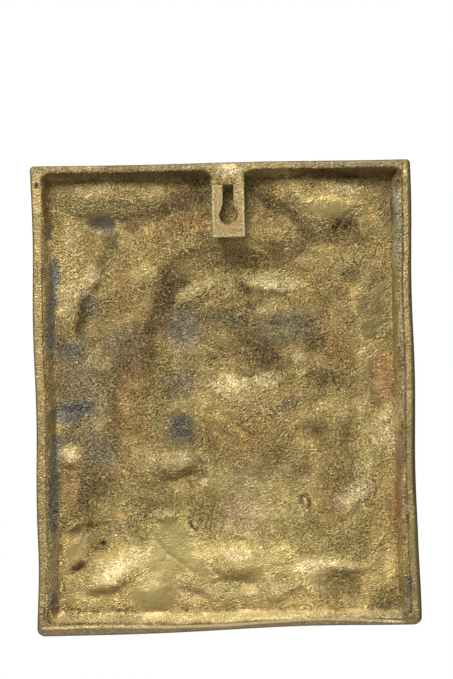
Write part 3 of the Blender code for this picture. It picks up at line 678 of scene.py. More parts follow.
# The umber lines paint shade in the bottom rim's grooves, in the creases by the rims, along the right
# rim's outer edge and round the pits; they also mark crumbs, dots and scratches
LINES["umber"] = {
    "groove over the bright line": Stroke(
        (
            (64, 623.6), (86, 622.6), (124, 622.8), (167, 623.6), (228, 623.6),
            (262, 621.8), (288, 620.8), (303, 619.5),
        ),
        1.3,
        0.5,
    ),
    "crumb right of the hanger": Mark(266, 218, 2.0, 1.4, 1.2, 30),
    "second crumb": Mark(271, 222, 1.8, 1.4, 1.2),
    "third crumb": Mark(276, 226, 2.2, 1.3, 1.1, -20),
    "fourth crumb": Mark(264, 225, 1.6, 1.4, 0.9),
    "crumb in the notch": Mark(331, 231, 2.4, 1.5, 1.2, 20),
    "second crumb in the notch": Mark(338, 236, 2.0, 1.5, 1.1),
    "third crumb in the notch": Mark(345, 232, 2.0, 1.6, 1.2, 30),
    "fourth crumb in the notch": Mark(350, 244, 2.2, 1.5, 1.1),
    "scratch by the valley": Stroke(((303, 209), (317, 198)), 1.4, 0.9),
    "scratch on the lobe": Stroke(((294, 223), (288, 232), (280, 243)), 1.4, 0.9),
    "first dot on the left": Mark(68, 374, 1.6, 1.4, 1.2),
    "second dot on the left": Mark(68.5, 380, 1.6, 1.4, 1.2),
    "third dot on the left": Mark(68, 386, 1.6, 1.4, 1.2),
    "fourth dot on the left": Mark(67, 393, 1.6, 1.4, 1.0),
    "ring of the ring pit, left": Stroke(((301, 504), (301.5, 498), (306, 495), (309, 497)), 1.9, 1.6),
    "ring of the ring pit, right": Stroke(((310.5, 500), (311, 507), (307.5, 510.5)), 1.9, 1.6),
    "upper end of the slanted pit": Stroke(((187, 519), (190, 518.5)), 1.8, 1.5),
    "lower side of the slanted pit": Stroke(((191, 528), (196, 532), (197, 529)), 1.7, 1.5),
    "crack by the right rim": Stroke(((401.6, 164), (402, 200), (404, 262)), 1.1, 1.2),
    "crease of the right wall": Stroke(((393, 236), (393, 258)), 1.1, 0.8),
    "line by the left rim": Stroke(((46.5, 570), (46, 620)), 1.1, 1.0),
    "line beside the bright one": Stroke(((352, 619), (376, 620), (400, 621.8), (411, 620)), 1.1, 1.0),
    "first dash": Stroke(((321, 619.4), (326, 619.4)), 1.2, 1.3),
    "second dash": Stroke(((329, 620), (334, 619.4)), 1.2, 1.3),
    "third dash": Stroke(((339, 618.6), (342, 618.6)), 1.1, 1.2),
    "fourth dash": Stroke(((346, 619.8), (351, 618)), 1.3, 1.3),
    "outer line of the right rim": Stroke(((413, 400), (414.5, 500)), 1.0, 0.8),
}

# How a patch of tone, patina and painted light alike, fades from its core to a little past its
# outline, as shares of its reach
STAIN_CORE = 0.35
STAIN_END = 1.15

# The rim as the photograph shows it: a worn edge, a ledge inside its right side, a tilted and
# beaded lower side. Sizes are in metres; the ledge's step and crown are shares of the wall's drop.
EDGE_ROUND = 0.0009
EDGE_DROP = 0.7 * EDGE_ROUND
SIDE_BLEND = 0.0020
RIGHT_STRIP = 0.0022
RIGHT_STRIP_DROP = 0.0012
BOTTOM_TILT = 0.0011
BOTTOM_TILT_REACH = 1.6 * BOTTOM_RIM_WIDTH
LEDGE_CREASE = 0.0008
LEDGE_STEP = 0.15
LEDGE_CROWN = 0.05
LEDGE_WIDTH = 0.0030
LEDGE_FOOT = 0.0053
BEAD_WIDTH = 0.0032
BEAD_GROOVES = (BEAD_WIDTH / 3, BEAD_WIDTH)
GROOVE_HALF_WIDTH = BEAD_WIDTH / 5
GROOVE_DEPTH = 0.05
RIM_BLEND = 0.0005

# How smooth the rim and the front are, and how dull the rim's right, left, top and bottom sides are
RIM_SMOOTHNESS = 0.75
FRONT_SMOOTHNESS = 0.75
RIM_DULLNESS = (0.42, 0.35, 0.60, 0.30)

# Painted shade along the outer edge and in the creases inside the side rims, and dirt on the front
OUTLINE_WIDTH = 0.0007
CREASE_PLACE = 0.0002
CREASE_HALF = 0.0006
CREASE_SHARE = 0.6
CREASE_GAPS = Field(0.02, 61.3, 3, 1.0)
FIELD_GRIME = 0.75
FRONT_CLOUDS = Field(0.012, 41.7, 3, 0.25)

# The strap's surface, with its sizes in metres: how finely it is drawn, its waves, ripples and
# pores, each with the size of its features, its shift in the noise and its height, the part of
# the noise that makes a pore, and the width of its worn edge
Roughening = namedtuple("Roughening", "size shift height")
STRAP_STEP = 0.0003
MERGE_DISTANCE = 0.00001
STRAP_SMOOTHING = 0.5
STRAP_WAVES = Roughening(0.0045, (0, 0, 0), 0.00010)
STRAP_RIPPLES = Roughening(0.0012, (9, 4, 2), 0.00006)
STRAP_PORES = Roughening(0.0019, (3, 8, 5), 0.0007)
PORE_LEAST = 0.35
STRAP_OCTAVES = 2
STRAP_SHRINK = 0.00012
STRAP_WORN_WIDTH = 0.0016

# Colours, as linear red, green and blue
BRASS = (0.310, 0.232, 0.086)
GOLDEN = (0.430, 0.315, 0.115)
RUSTY_BRASS = (0.330, 0.195, 0.075)
DIM_BRASS = (0.190, 0.135, 0.050)
RIM_BRASS = (0.155, 0.123, 0.058)
# Painted shade along the outer edge and in the side rims' creases
PAINTED_EDGE_SHADE = (0.045, 0.032, 0.015)
# Painted shade in the pits
PAINTED_PIT_SHADE = (0.020, 0.015, 0.009)
GLINT = (0.85, 0.74, 0.46)
STRAP_BRASS = (0.310, 0.220, 0.104)
STRAP_GOLD = (0.340, 0.255, 0.098)
STRAP_EDGE = (0.560, 0.470, 0.290)
FLOOR_GREY = (0.75, 0.75, 0.74)

# The tones of patina and of painted light and shade, which lie over one another in this order
TONE_COLOURS = {
    "shade": (0.125, 0.090, 0.034),
    "gold": (0.560, 0.430, 0.170),
    "silver": (0.460, 0.450, 0.350),
    "umber": (0.100, 0.055, 0.020),
    "grey": (0.160, 0.137, 0.083),
    "dull_blue": (0.130, 0.130, 0.112),
    "olive": (0.370, 0.315, 0.112),
    "rust": (0.320, 0.180, 0.060),
    "pink": (0.420, 0.290, 0.175),
    "cream": (0.760, 0.620, 0.320),
}

# Clouds over the brass: the size of their features in metres, the noise's detail and roughness, and
# a span, which says what part of a value counts and what its low and its high end become
Cloud = namedtuple("Cloud", "size detail roughness span")
GOLDEN_CLOUDS = Cloud(0.016, 4, 0.6, (0.42, 0.62, 0, 1))
DIM_CLOUDS = Cloud(0.012, 4, 0.65, (0.50, 0.68, 0, 0.40))
OCHRE_CLOUDS = Cloud(0.013, 3, 0.6, (0.50, 0.68, 0, 0.40))
RAGGED_CLOUDS = Cloud(0.0016, 3, 0.7, (0.30, 0.70, -0.35, 0.35))
GRAINY_CLOUDS = Cloud(0.018, 3, 0.6, (0.36, 0.62, 0.55, 1.20))
STRAP_CLOUDS = Cloud(0.004, 3, 0.5, (0.35, 0.65, 0, 1))
CLOUD_SHIFT = (0.31, 0.17, 0.23)

# The grain: short strokes that slant up to the right and bend a little. Each layer of it has a
# scale against the grain's own, its noise's detail and roughness, and a share of the height.
GRAIN_SLANT = math.radians(35)
GRAIN_STRETCH = 2.4
STROKE_STRETCH = 1.9
BEND_SIZE = 0.006
BEND = 0.004
Layer = namedtuple("Layer", "scale detail roughness share")
COARSE = Layer(1 / 2.2, 2, 0.6, 0.35)
MEDIUM = Layer(1, 2, 0.6, 0.45)
FINE = Layer(1 / 0.65, 1, 0.5, 0.60)
FOLDS = Layer(0.15, 3, 0.55, 0.25)
BROAD_SPECKLE = (0.35, 0.65, 0.80, 1.20)
FINE_SPECKLE = (0.38, 0.62, 0.42, 1.58)
GLINTING = (0.60, 0.72, 0, 1)

# The casting's finish; spans as above
CASTING_METALLIC = 0.60
CASTING_ROUGHNESS = 0.48
CASTING_GRAIN = 0.0008
CASTING_BUMP = 0.0034
TONE_STRENGTH = 0.9
GLINT_SHARE = 0.35
EDGE_STRENGTH = 0.8
RAGGED_ROUGHNESS = 0.25
DIM_WHERE_SMOOTH = (0, 1, 1, 0.3)
GRAIN_WHERE_SMOOTH = (0, 1, 1, 0.25)
PIT_SHADE = (0.2, 0.9, 0, 0.85)

# The strap's finish
STRAP_METALLIC = 0.5
STRAP_ROUGHNESS = 0.5
STRAP_GRAIN = 0.0006
STRAP_BUMP = 0.0012
STRAP_BUMP_STRENGTH = 0.8
STRAP_SPECKLE = (0.5, 1.5, 0.65, 1.35)
WORN_SPECKLE = (0.6, 1.3, 0.2, 0.8)

# The studio: the sky's strength from below to above, the floor, and the lamps, which stand at
# places from the plaque's middle and face it
SKY_SPAN = (-0.5, 1.0, 0.0, 0.30)
FLOOR_HALF = 1.5
FLOOR_BELOW = 0.55
FLOOR_ROUGHNESS = 0.8
Lamp = namedtuple("Lamp", "place size power colour")
LAMPS = {
    "high key": Lamp((0.20, 0.62, 0.68), (0.45, 0.35), 14.5, (1.0, 0.97, 0.91)),
    "camera fill": Lamp((0.1, 1.2, 0.1), (0.8, 0.8), 0.6, (1, 1, 1)),
    "front key": Lamp((0.35, -0.65, 0.60), (0.8, 0.5), 14, (1, 1, 1)),
}


def ease(low, high, value):
    """0 below low, 1 above high, and a smooth rise between them."""
    share = np.clip((value - low) / (high - low), 0, 1)
    return share * share * (3 - 2 * share)


def dome(reach):
    return np.clip(1 - reach * reach, 0, None) ** 2


def bell(reach):
    return np.exp(-reach * reach)


def stain(reach):
    return 1 - ease(STAIN_CORE, STAIN_END, reach)


def soft_least(first, second, blend):
    """The lesser of two distances, with a fillet where they are nearly equal."""
    gap = np.maximum(blend - np.abs(first - second), 0) / blend
    return np.minimum(first, second) - gap * gap * blend / 4


def soft_noise(place, octaves):
    """Noise from about -1 to 1, the same on each run."""
    return noise.fractal(place, FRACTAL_FALL, FRACTAL_STEP, octaves)


def field(right, up, form):
    """The form's noise at each place."""
    places = zip((right / form.size).tolist(), (up / form.size).tolist())
    return form.amount * np.array([soft_noise((x, z, form.seed), form.octaves) for x, z in places])


def turned_reach(across, above, half_width, half_height, degrees):
    """Distance from an oval's middle, counted so that its outline lies at 1, and the bearing."""
    turn = math.radians(degrees)
    along = (across * math.cos(turn) + above * math.sin(turn)) / half_width
    over = (above * math.cos(turn) - across * math.sin(turn)) / half_height
    return np.hypot(along, over), np.arctan2(over, along)


def oval_reach(right, up, form):
    across = right - form.across * HALF_WIDTH
    above = up - form.up * HALF_HEIGHT
    wide = form.half_width * HALF_WIDTH
    tall = form.half_height * HALF_WIDTH
    return turned_reach(across, above, wide, tall, form.turn)


def mark_reach(x, y, mark):
    return turned_reach(x - mark.x, mark.y - y, mark.half_width, mark.half_height, mark.turn)[0]


def stroke_reach(x, y, stroke):
    """Distance from a line through the stroke's points, in its widths."""
    nearest = np.full(np.shape(x), np.inf)
    for (x0, y0), (x1, y1) in zip(stroke.points, stroke.points[1:]):
        length = math.hypot(x1 - x0, y1 - y0)
        along = ((x - x0) * (x1 - x0) + (y - y0) * (y1 - y0)) / length**2
        along = np.clip(along, 0, 1)
        away = np.hypot(x - x0 - along * (x1 - x0), y - y0 - along * (y1 - y0))
        nearest = np.minimum(nearest, away)
    return nearest / stroke.width


def form_sum(x, y, forms, shape):
    """The amounts of all the marks and strokes, each by the shape of its distance."""
    total = np.zeros(np.shape(x))
    for form in forms.values():
        reach = stroke_reach if isinstance(form, Stroke) else mark_reach
        total = total + form.amount * shape(reach(x, y, form))
    return total


def from_photo(x, y):
    """A photograph's pixel as metres right and up from the plaque's centre."""
    across = (x - MIDDLE_X) * PIXEL
    above = (MIDDLE_Y - y) * PIXEL
    right = across * math.cos(LEAN) + above * math.sin(LEAN)
    up = above * math.cos(LEAN) - across * math.sin(LEAN)
    return right, up


def to_photo(right, up):
    """The pixel of the photograph that shows a place on the plaque."""
    across = right * math.cos(LEAN) - up * math.sin(LEAN)
    above = up * math.cos(LEAN) + right * math.sin(LEAN)
    return MIDDLE_X + across / PIXEL, MIDDLE_Y - above / PIXEL


def wander(right, up):
    """The photograph's pixel of each place, pushed about a little so that no outline is smooth."""
    x, y = to_photo(right, up)
    for push in WANDERS:
        x = x + field(right, up, push)
        y = y + field(right, up, push._replace(seed=push.seed + UPWARD_SEED))
    return x, y


def hollow_height(right, up):
    reach, bearing = oval_reach(right, up, GREAT_HOLLOW)
    softness = HOLLOW_SOFTNESS - HOLLOW_STEEP_TOP * np.sin(bearing)
    return GREAT_HOLLOW.rise * (1 - ease(1 - softness, 1 + softness / 3, reach))


def arch_height(right, up):
    reach, bearing = oval_reach(right, up, ARCH_BAND)
    crest = bell((reach - 1) / ARCH_BAND_SPREAD)
    turn = bearing % math.tau
    shown = ease(*ARCH_BAND_START, turn) * (1 - ease(*ARCH_BAND_END, turn))
    return ARCH_BAND.rise * crest * shown


def floor_y(right, up):
    """The tray's floor with its main forms."""
    height = hollow_height(right, up) + arch_height(right, up)
    for form in DABS.values():
        height = height + form.rise * dome(oval_reach(right, up, form)[0])
    return RIM_Y - FLOOR_DEPTH + height


def from_edge(right, up):
    """Distances from the nearest side edge and from the nearest end's edge."""
    return HALF_WIDTH - np.abs(right), HALF_HEIGHT - np.abs(up)


def rounded_inside(right, up):
    """Distance from the rim's inner edge, positive over the tray, with rounded corners."""
    to_side = HALF_WIDTH - SIDE_RIM_WIDTH - np.abs(right)
    to_top = HALF_HEIGHT - TOP_RIM_WIDTH - up
    to_bottom = HALF_HEIGHT - BOTTOM_RIM_WIDTH + up
    to_end = np.where(up > 0, to_top, to_bottom)
    short_side = np.clip(INNER_CORNER_RADIUS - to_side, 0, None)
    short_end = np.clip(INNER_CORNER_RADIUS - to_end, 0, None)
    corner = INNER_CORNER_RADIUS - np.hypot(short_side, short_end)
    return np.where((short_side > 0) & (short_end > 0), corner, np.minimum(to_side, to_end))


def wall_run(right, up):
    """How far in the wall's foot lies: each side has its own run, and they blend at the corners."""
    beside, beyond = from_edge(right, up)
    end_run = np.where(up > 0, TOP_WALL_RUN, BOTTOM_WALL_RUN)
    share = ease(-SIDE_WALL_RUN, SIDE_WALL_RUN, beside - beyond)
    return SIDE_WALL_RUN + (end_run - SIDE_WALL_RUN) * share


def neck_outside(right, up):
    """Distance from the neck's outline, negative on the neck."""
    from_middle = np.abs(right - HANGER_OFF_CENTRE) - STRAP_WIDTH / 2
    below = NECK_Z - CENTRE_Z - up
    corner = np.hypot(from_middle, below)
    return np.where((from_middle > 0) & (below > 0), corner, np.maximum(from_middle, below))


def side_shares(right, up):
    """How far each place belongs to the right, the left, the top and the bottom side, 0 to 1."""
    beside, beyond = from_edge(right, up)
    end = ease(-SIDE_BLEND, SIDE_BLEND, beside - beyond)
    return (1 - end) * (right > 0), (1 - end) * (right < 0), end * (up > 0), end * (up < 0)


def wall_fall(right, up, inside, run):
    """How far the wall has come down, 0 on the rim to 1 on the floor, with its ledge and beads."""
    at_right, _, _, at_bottom = side_shares(right, up)
    plain = ease(0, 1, inside / run)
    ledge = LEDGE_STEP * ease(0, LEDGE_CREASE, inside)
    ledge = ledge + (1 - LEDGE_STEP) * ease(LEDGE_WIDTH, LEDGE_FOOT, inside)
    ledge = ledge - LEDGE_CROWN * dome((inside - LEDGE_WIDTH / 2) / (LEDGE_WIDTH / 2))
    beads = GROOVE_DEPTH * sum(dome((inside - place) / GROOVE_HALF_WIDTH) for place in BEAD_GROOVES)
    return plain + (ledge - plain) * at_right + beads * at_bottom


def rim_drop(right, up):
    """How far the rim's face lies below its level: its outer edge is worn round, or hammered off."""
    at_right, _, _, at_bottom = side_shares(right, up)
    edge = np.minimum(*from_edge(right, up))
    worn = EDGE_DROP * (1 - ease(0, EDGE_ROUND, edge))
    strip = RIGHT_STRIP_DROP * (1 - ease(0, RIGHT_STRIP, edge))
    tilt = BOTTOM_TILT * (1 - ease(0, BOTTOM_TILT_REACH, edge))
    return worn + at_right * strip + at_bottom * tilt


def back_y(right, up, fine):
    """The back's height: rim, neck, inner wall, and floor with its fine relief."""
    inside = rounded_inside(right, up)
    outside_neck = neck_outside(right, up)
    distance = soft_least(inside, outside_neck, NECK_FILLET)
    near_neck = ease(-NECK_FILLET / 2, NECK_FILLET / 2, inside - outside_neck)
    plain_run = wall_run(right, up)
    run = plain_run + (NECK_WALL_RUN - plain_run) * near_neck
    fall = wall_fall(right, up, distance, run)
    neck_end = ease(0, NECK_SLOPE_RUN, up - (NECK_Z - CENTRE_Z))
    slope = RIM_BEHIND_HANGER * (1 - neck_end) * near_neck * (inside > 0)
    raised = RIM_Y - slope - rim_drop(right, up)
    fine_share = RIM_RELIEF + (1 - RIM_RELIEF) * np.clip(fall, 0, 1)
    return raised + (floor_y(right, up) - raised) * fall + fine * fine_share


def leaf_height(right, up):
    """The wreath: pointed leaves in a row along an oval, each with a sunk rib."""
    reach, _ = oval_reach(right, up, WREATH)
    bearing = np.arctan2(up / WREATH.half_height, right / WREATH.half_width)
    lane = (reach - 1) / WREATH_SPREAD
    along = (bearing / math.tau * WREATH_LEAVES) % 1
    width = np.clip(np.sin(math.pi * along), LEAF_LEAST_WIDTH, None) ** LEAF_FULLNESS
    body = np.clip(1 - (lane / width) ** 2, 0, None)
    rib = 1 - LEAF_RIB * bell(lane / LEAF_RIB_WIDTH)
    return WREATH.rise * body * (LEAF_LOW_END + (1 - LEAF_LOW_END) * along) * rib


def front_y(right, up):
    """The front: a flat border, a sunk field, the wreath and the domed boss inside it."""
    edge = np.minimum(*from_edge(right, up))
    border = BORDER_RISE * (1 - ease(BORDER_WIDTH, BORDER_WIDTH + BORDER_EDGE_RUN, edge))
    reach, _ = oval_reach(right, up, BOSS)
    crown = 1 - BOSS_CROWN + BOSS_CROWN * (1 - np.clip(reach, 0, 1) ** 2)
    boss = BOSS.rise * (1 - ease(BOSS_EDGE, 1, reach)) * crown
    depth = FRONT_FIELD_DEPTH + border + boss + leaf_height(right, up)
    lip = ease(0, BORDER_RISE, edge)
    behind = RIM_Y - floor_y(right, up) + LEAST_WALL
    return RIM_Y + soft_least(-depth, -behind, LEAST_WALL / 2) * lip - FRONT_EDGE_DEPTH * (1 - lip)


def round_corners(right, up):
    """Draws the grid's square corners in to round ones."""
    radius = np.where(up > 0, CORNER_RADIUS_HIGH, CORNER_RADIUS_LOW)
    into_side = np.clip(np.abs(right) - (HALF_WIDTH - radius), 0, None) / radius
    into_end = np.clip(np.abs(up) - (HALF_HEIGHT - radius), 0, None) / radius
    longest = np.maximum(into_side, into_end)
    diagonal = np.maximum(np.hypot(into_side, into_end), 1e-9)
    pull = np.where(longest > 0, longest / diagonal, 1)
    new_right = np.sign(right) * (np.abs(right) - into_side * radius * (1 - pull))
    new_up = np.sign(up) * (np.abs(up) - into_end * radius * (1 - pull))
    return new_right, new_up


def hand_made_edge(right, up):
    """Moves the outer edge as the hand-worked one wanders, and leaves the tray as it is."""
    side_share = ease(HALF_WIDTH - EDGE_REACH, HALF_WIDTH, np.abs(right))
    end_share = ease(HALF_HEIGHT - EDGE_REACH, HALF_HEIGHT, np.abs(up))
    flare = CORNER_FLARE * ease(-HALF_HEIGHT + FLARE_HEIGHT, -HALF_HEIGHT, up)
    side_wave = EDGE_WAVE * np.sin(right / HALF_WIDTH + SIDE_WAVES * math.pi * up / PLAQUE_HEIGHT)
    end_wave = EDGE_WAVE * np.sin(END_WAVES * math.pi * right / PLAQUE_WIDTH + END_WAVE_START)
    bow = BOTTOM_BOW * bell((right / HALF_WIDTH - BOW_PLACE) / BOW_SPREAD) * (up < 0)
    taper = BOTTOM_RIM_TAPER / 2 * (right / HALF_WIDTH) * (up < 0)
    new_right = right + np.sign(right) * side_share * (flare + side_wave)
    new_up = up + end_share * (end_wave / 2 + bow + taper)
    return new_right, new_up


def slanted(right, up):
    """Places along and over the slanting strokes that the grain follows, drawn together along them."""
    along = (right * math.cos(GRAIN_SLANT) + up * math.sin(GRAIN_SLANT)) / GRAIN_STRETCH
    return along, up * math.cos(GRAIN_SLANT) - right * math.sin(GRAIN_SLANT)


def fine_relief(right, up, x, y, smooth, pits):
    """The back's hand-pressed lumps, folds, grain and pits, in metres towards the camera."""
    marked = LUMP_SCALE * form_sum(x, y, LUMPS, dome) + RIPPLE_SCALE * form_sum(x, y, RIPPLES, bell)
    rough = 1 - SMOOTH_LOSS * smooth
    along, over = slanted(right, up)
    lumps = field(right, up, BROAD_RELIEF) + field(along, over, KNOBBLY_RELIEF)
    grain = field(along, over, GRAINY_RELIEF)
    return (marked + pits + lumps * (LUMPS_KEPT + (1 - LUMPS_KEPT) * rough) + grain * rough) / 1000


def ruled(marks, step):
    """Grid lines from the first mark to the last, on every mark, no further apart than step."""
    lines = [marks[0]]
    for low, high in zip(marks, marks[1:]):
        count = max(1, math.ceil((high - low) / step - 1e-6))
        lines += [low + (high - low) * turn / count for turn in range(1, count + 1)]
    return np.array(lines)


def grid_lines():
    """Lines across and up, finer along the rim."""
    side = list(ruled([-HALF_WIDTH, -HALF_WIDTH + SIDE_RIM_WIDTH + BEND_REACH], EDGE_STEP))
    across = ruled(side + [-line for line in reversed(side)], BACK_STEP)
    low = ruled([-HALF_HEIGHT, -HALF_HEIGHT + BOTTOM_RIM_WIDTH + BEAD_REACH], EDGE_STEP)
    bend = HALF_HEIGHT - TOP_RIM_WIDTH
    high_bend = ruled([bend - BEND_REACH, bend + BEND_REACH], EDGE_STEP)
    high = ruled([HALF_HEIGHT - EDGE_ROUND, HALF_HEIGHT], EDGE_STEP)
    up = ruled(list(low) + list(high_bend) + list(high), BACK_STEP)
    return across, up


def flat_slab(across, up):
    """A slab on the given lines, the front at height 0 and the back at 1, finer round the pits."""
    bm = bmesh.new()
    bmesh.ops.create_grid(bm, x_segments=len(across) - 1, y_segments=len(up) - 1, size=0.5)
    for vert in bm.verts:
        vert.co.x = across[round((vert.co.x + 0.5) * (len(across) - 1))]
        vert.co.y = up[round((vert.co.y + 0.5) * (len(up) - 1))]
    grown = bmesh.ops.extrude_face_region(bm, geom=bm.faces[:], use_keep_orig=True)["geom"]
    behind = [item for item in grown if isinstance(item, bmesh.types.BMVert)]
    bmesh.ops.translate(bm, vec=(0, 0, 1), verts=behind)
    places = np.array([vert.co for vert in behind])
    x, y = to_photo(places[:, 0], places[:, 1])
    near = np.zeros(len(behind), bool)
    for mark in PITS.values():
        near |= mark_reach(x, y, mark) < PIT_REACH
    close = {vert for vert, is_near in zip(behind, near) if is_near}
    edges = [edge for edge in bm.edges if edge.verts[0] in close and edge.verts[1] in close]
    bmesh.ops.subdivide_edges(bm, edges=edges, cuts=PIT_CUTS, use_grid_fill=True)
    return bm


def add_object(name, data):
    made = bpy.data.objects.new(name, data)
    bpy.context.scene.collection.objects.link(made)
    return made


def new_mesh(name, bm):
    mesh = bpy.data.meshes.new(name)
    bm.to_mesh(mesh)
    bm.free()
    return mesh


def applied(helper, name):
    """The helper's mesh with its modifiers applied; the helper goes."""
    seen = helper.evaluated_get(bpy.context.evaluated_depsgraph_get())
    mesh = bpy.data.meshes.new_from_object(seen)
    plain = helper.data
    bpy.data.objects.remove(helper, do_unlink=True)
    bpy.data.meshes.remove(plain)
    mesh.name = name
    return mesh


def add_attribute(mesh, name, values):
    layer = mesh.attributes.new(name, "FLOAT", "POINT")
    layer.data.foreach_set("value", values.astype(np.float32))


def add_piece(mesh, node, material):
    """Makes the mesh a finished piece, which rides with the part and stands for a solid."""
    mesh.materials.clear()
    mesh.materials.append(material)
    piece = add_object(mesh.name, mesh)
    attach(piece, "root")
    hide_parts(node)


def painted_edge_shade(right, up):
    """Painted shade: dark lines along the worn outer edge, and in the creases where the side rims meet
    the walls.
    """
    outline = 1 - ease(0, OUTLINE_WIDTH, np.minimum(*from_edge(right, up)))
    at_right, at_left, _, _ = side_shares(right, up)
    crease = dome((rounded_inside(right, up) - CREASE_PLACE) / CREASE_HALF)
    uneven = np.clip(CREASE_SHARE + field(right * 0, up, CREASE_GAPS), 0, 1)
    return np.clip(outline + (at_right + at_left) * crease * uneven, 0, 1)


def front_grime(right, up, depth):
    """Dirt on the front: most in the sunk field and beside the leaves, least on what stands out."""
    sunk = 1 - ease(FRONT_FIELD_DEPTH, FRONT_FIELD_DEPTH + BORDER_RISE, RIM_Y - depth)
    return FIELD_GRIME * sunk + field(right, up, FRONT_CLOUDS)


def thin_front(mesh, front):
    """Takes faces from the plain front, so that the back can keep all of its own."""
    helper = add_object("helper", mesh)
    helper.vertex_groups.new(name="front").add(front.tolist(), 1, "REPLACE")
    fewer = helper.modifiers.new("fewer faces", "DECIMATE")
    fewer.ratio = (1 + FRONT_SHARE) / 2
    fewer.vertex_group = "front"
    return applied(helper, mesh.name)


def build_casting(material):
    """The casting: a slab whose points take the heights of its back and front, and its masks."""
    bm = flat_slab(*grid_lines())
    right, up, back_share = np.array([vert.co for vert in bm.verts]).T
    is_back = back_share > 0.5
    x, y = wander(right, up)
    plain_x, plain_y = to_photo(right, up)
    on_rim = 1 - ease(-RIM_BLEND, RIM_BLEND, rounded_inside(right, up))
    smooth = np.clip(form_sum(x, y, PATINA_AND_PAINTED_LIGHT["smooth"], stain) + RIM_SMOOTHNESS * on_rim, 0, 1)
    pits = form_sum(plain_x, plain_y, PITS, dome)
    fine = fine_relief(right, up, x, y, smooth, pits)
    depth = np.where(is_back, back_y(right, up, fine), front_y(right, up))
    shown_right, shown_up = hand_made_edge(*round_corners(right, up))
    places = np.stack([CENTRE_X - shown_right, depth, CENTRE_Z + shown_up], axis=1)
    for vert, place in zip(bm.verts, places.tolist()):
        vert.co = place
    bmesh.ops.recalc_face_normals(bm, faces=bm.faces[:])
    mesh = new_mesh("brass_plaque", bm)
    masks = {tone: form_sum(x, y, PATINA_AND_PAINTED_LIGHT[tone], stain) for tone in TONE_COLOURS}
    for tone, lines in LINES.items():
        masks[tone] += form_sum(plain_x, plain_y, lines, dome)
    dullness = sum(dull * share for dull, share in zip(RIM_DULLNESS, side_shares(right, up)))
    masks |= {"smooth": smooth, "rim": on_rim * dullness, "pit": -pits, "edge": painted_edge_shade(right, up)}
    on_front = {"umber": front_grime(right, up, depth), "smooth": FRONT_SMOOTHNESS}
    for name, values in masks.items():
        add_attribute(mesh, name, np.where(is_back, values, on_front.get(name, 0)))
    mesh = thin_front(mesh, np.flatnonzero(~is_back))
    mesh.shade_smooth()
    mesh.set_sharp_from_angle(angle=SHARP_ANGLE)
    add_piece(mesh, "plaque_casting", material)


def surface_noise(place, form):
    return soft_noise(place / form.size + Vector(form.shift), STRAP_OCTAVES)


def roughen_strap(bm):
    """Waves, ripples and pores over the whole strap."""
    bm.normal_update()
    for vert in bm.verts:
        rise = STRAP_WAVES.height * surface_noise(vert.co, STRAP_WAVES)
        rise += STRAP_RIPPLES.height * surface_noise(vert.co, STRAP_RIPPLES)
        rise -= STRAP_PORES.height * max(0, surface_noise(vert.co, STRAP_PORES) - PORE_LEAST)
        vert.co += vert.normal * (rise - STRAP_SHRINK)


def build_strap(material):
    """The strap as cast: the solid's own form, with worn edges, a wavy outline and pores."""
    bm = bmesh.new()
    bm.from_mesh(bpy.data.objects["keyhole_hanger"].data)
    bmesh.ops.remove_doubles(bm, verts=bm.verts[:], dist=MERGE_DISTANCE)
    helper = add_object("helper", new_mesh("helper", bm))
    remesh = helper.modifiers.new("even faces", "REMESH")
    remesh.mode = "VOXEL"
    remesh.voxel_size = STRAP_STEP
    mesh = applied(helper, "keyhole_strap")
    bm = bmesh.new()
    bm.from_mesh(mesh)
    bmesh.ops.smooth_vert(
        bm, verts=bm.verts[:], factor=STRAP_SMOOTHING, use_axis_x=True, use_axis_y=True, use_axis_z=True
    )
    roughen_strap(bm)
    bm.to_mesh(mesh)
    bm.free()
    places = np.array([vert.co for vert in mesh.vertices])
    low, high = places.min(axis=0), places.max(axis=0)
    edge = np.minimum(places[:, 0] - low[0], high[0] - places[:, 0])
    edge = np.minimum(edge, places[:, 2] - low[2])
    add_attribute(mesh, "worn", 1 - ease(STRAP_WORN_WIDTH / 2, STRAP_WORN_WIDTH, edge))
    mesh.shade_smooth()
    add_piece(mesh, "keyhole_hanger", material)


def feed(tree, value, socket):
    """Links an output to the socket, or sets the socket to a plain value or an opaque colour."""
    if isinstance(value, bpy.types.NodeSocket):
        tree.links.new(value, socket)
    elif socket.type == "RGBA":
        socket.default_value = (*value, 1)
    else:
        socket.default_value = value


def add_node(tree, kind, inputs=None, **settings):
    """A node with its settings made, and then its inputs fed by name or number."""
    node = tree.nodes.new(kind)
    for name, value in settings.items():
        setattr(node, name, value)
    for socket, value in (inputs or {}).items():
        feed(tree, value, node.inputs[socket])
    return node


def calculate(tree, operation, first, second, clamp=False):
    inputs = {0: first, 1: second}
    return add_node(tree, "ShaderNodeMath", inputs, operation=operation, use_clamp=clamp).outputs[0]


def product(tree, first, *others):
    for other in others:
        first = calculate(tree, "MULTIPLY", first, other)
    return first


def total(tree, first, *others):
    for other in others:
        first = calculate(tree, "ADD", first, other)
    return first


def remap(tree, value, span):
    """The value with the span's part of it stretched from the span's low end to its high end."""
    sockets = ("Value", "From Min", "From Max", "To Min", "To Max")
    return add_node(tree, "ShaderNodeMapRange", dict(zip(sockets, (value, *span)))).outputs["Result"]


def blend(tree, share, first, second, kind="MIX"):
    inputs = {"Factor": share, "A": first, "B": second}
    return add_node(tree, "ShaderNodeMix", inputs, data_type="RGBA", blend_type=kind).outputs["Result"]


def noise_node(tree, vector, scale, detail, roughness=0.5, kind="FBM"):
    inputs = {"Vector": vector, "Scale": scale, "Detail": detail, "Roughness": roughness}
    return add_node(tree, "ShaderNodeTexNoise", inputs, noise_type=kind)


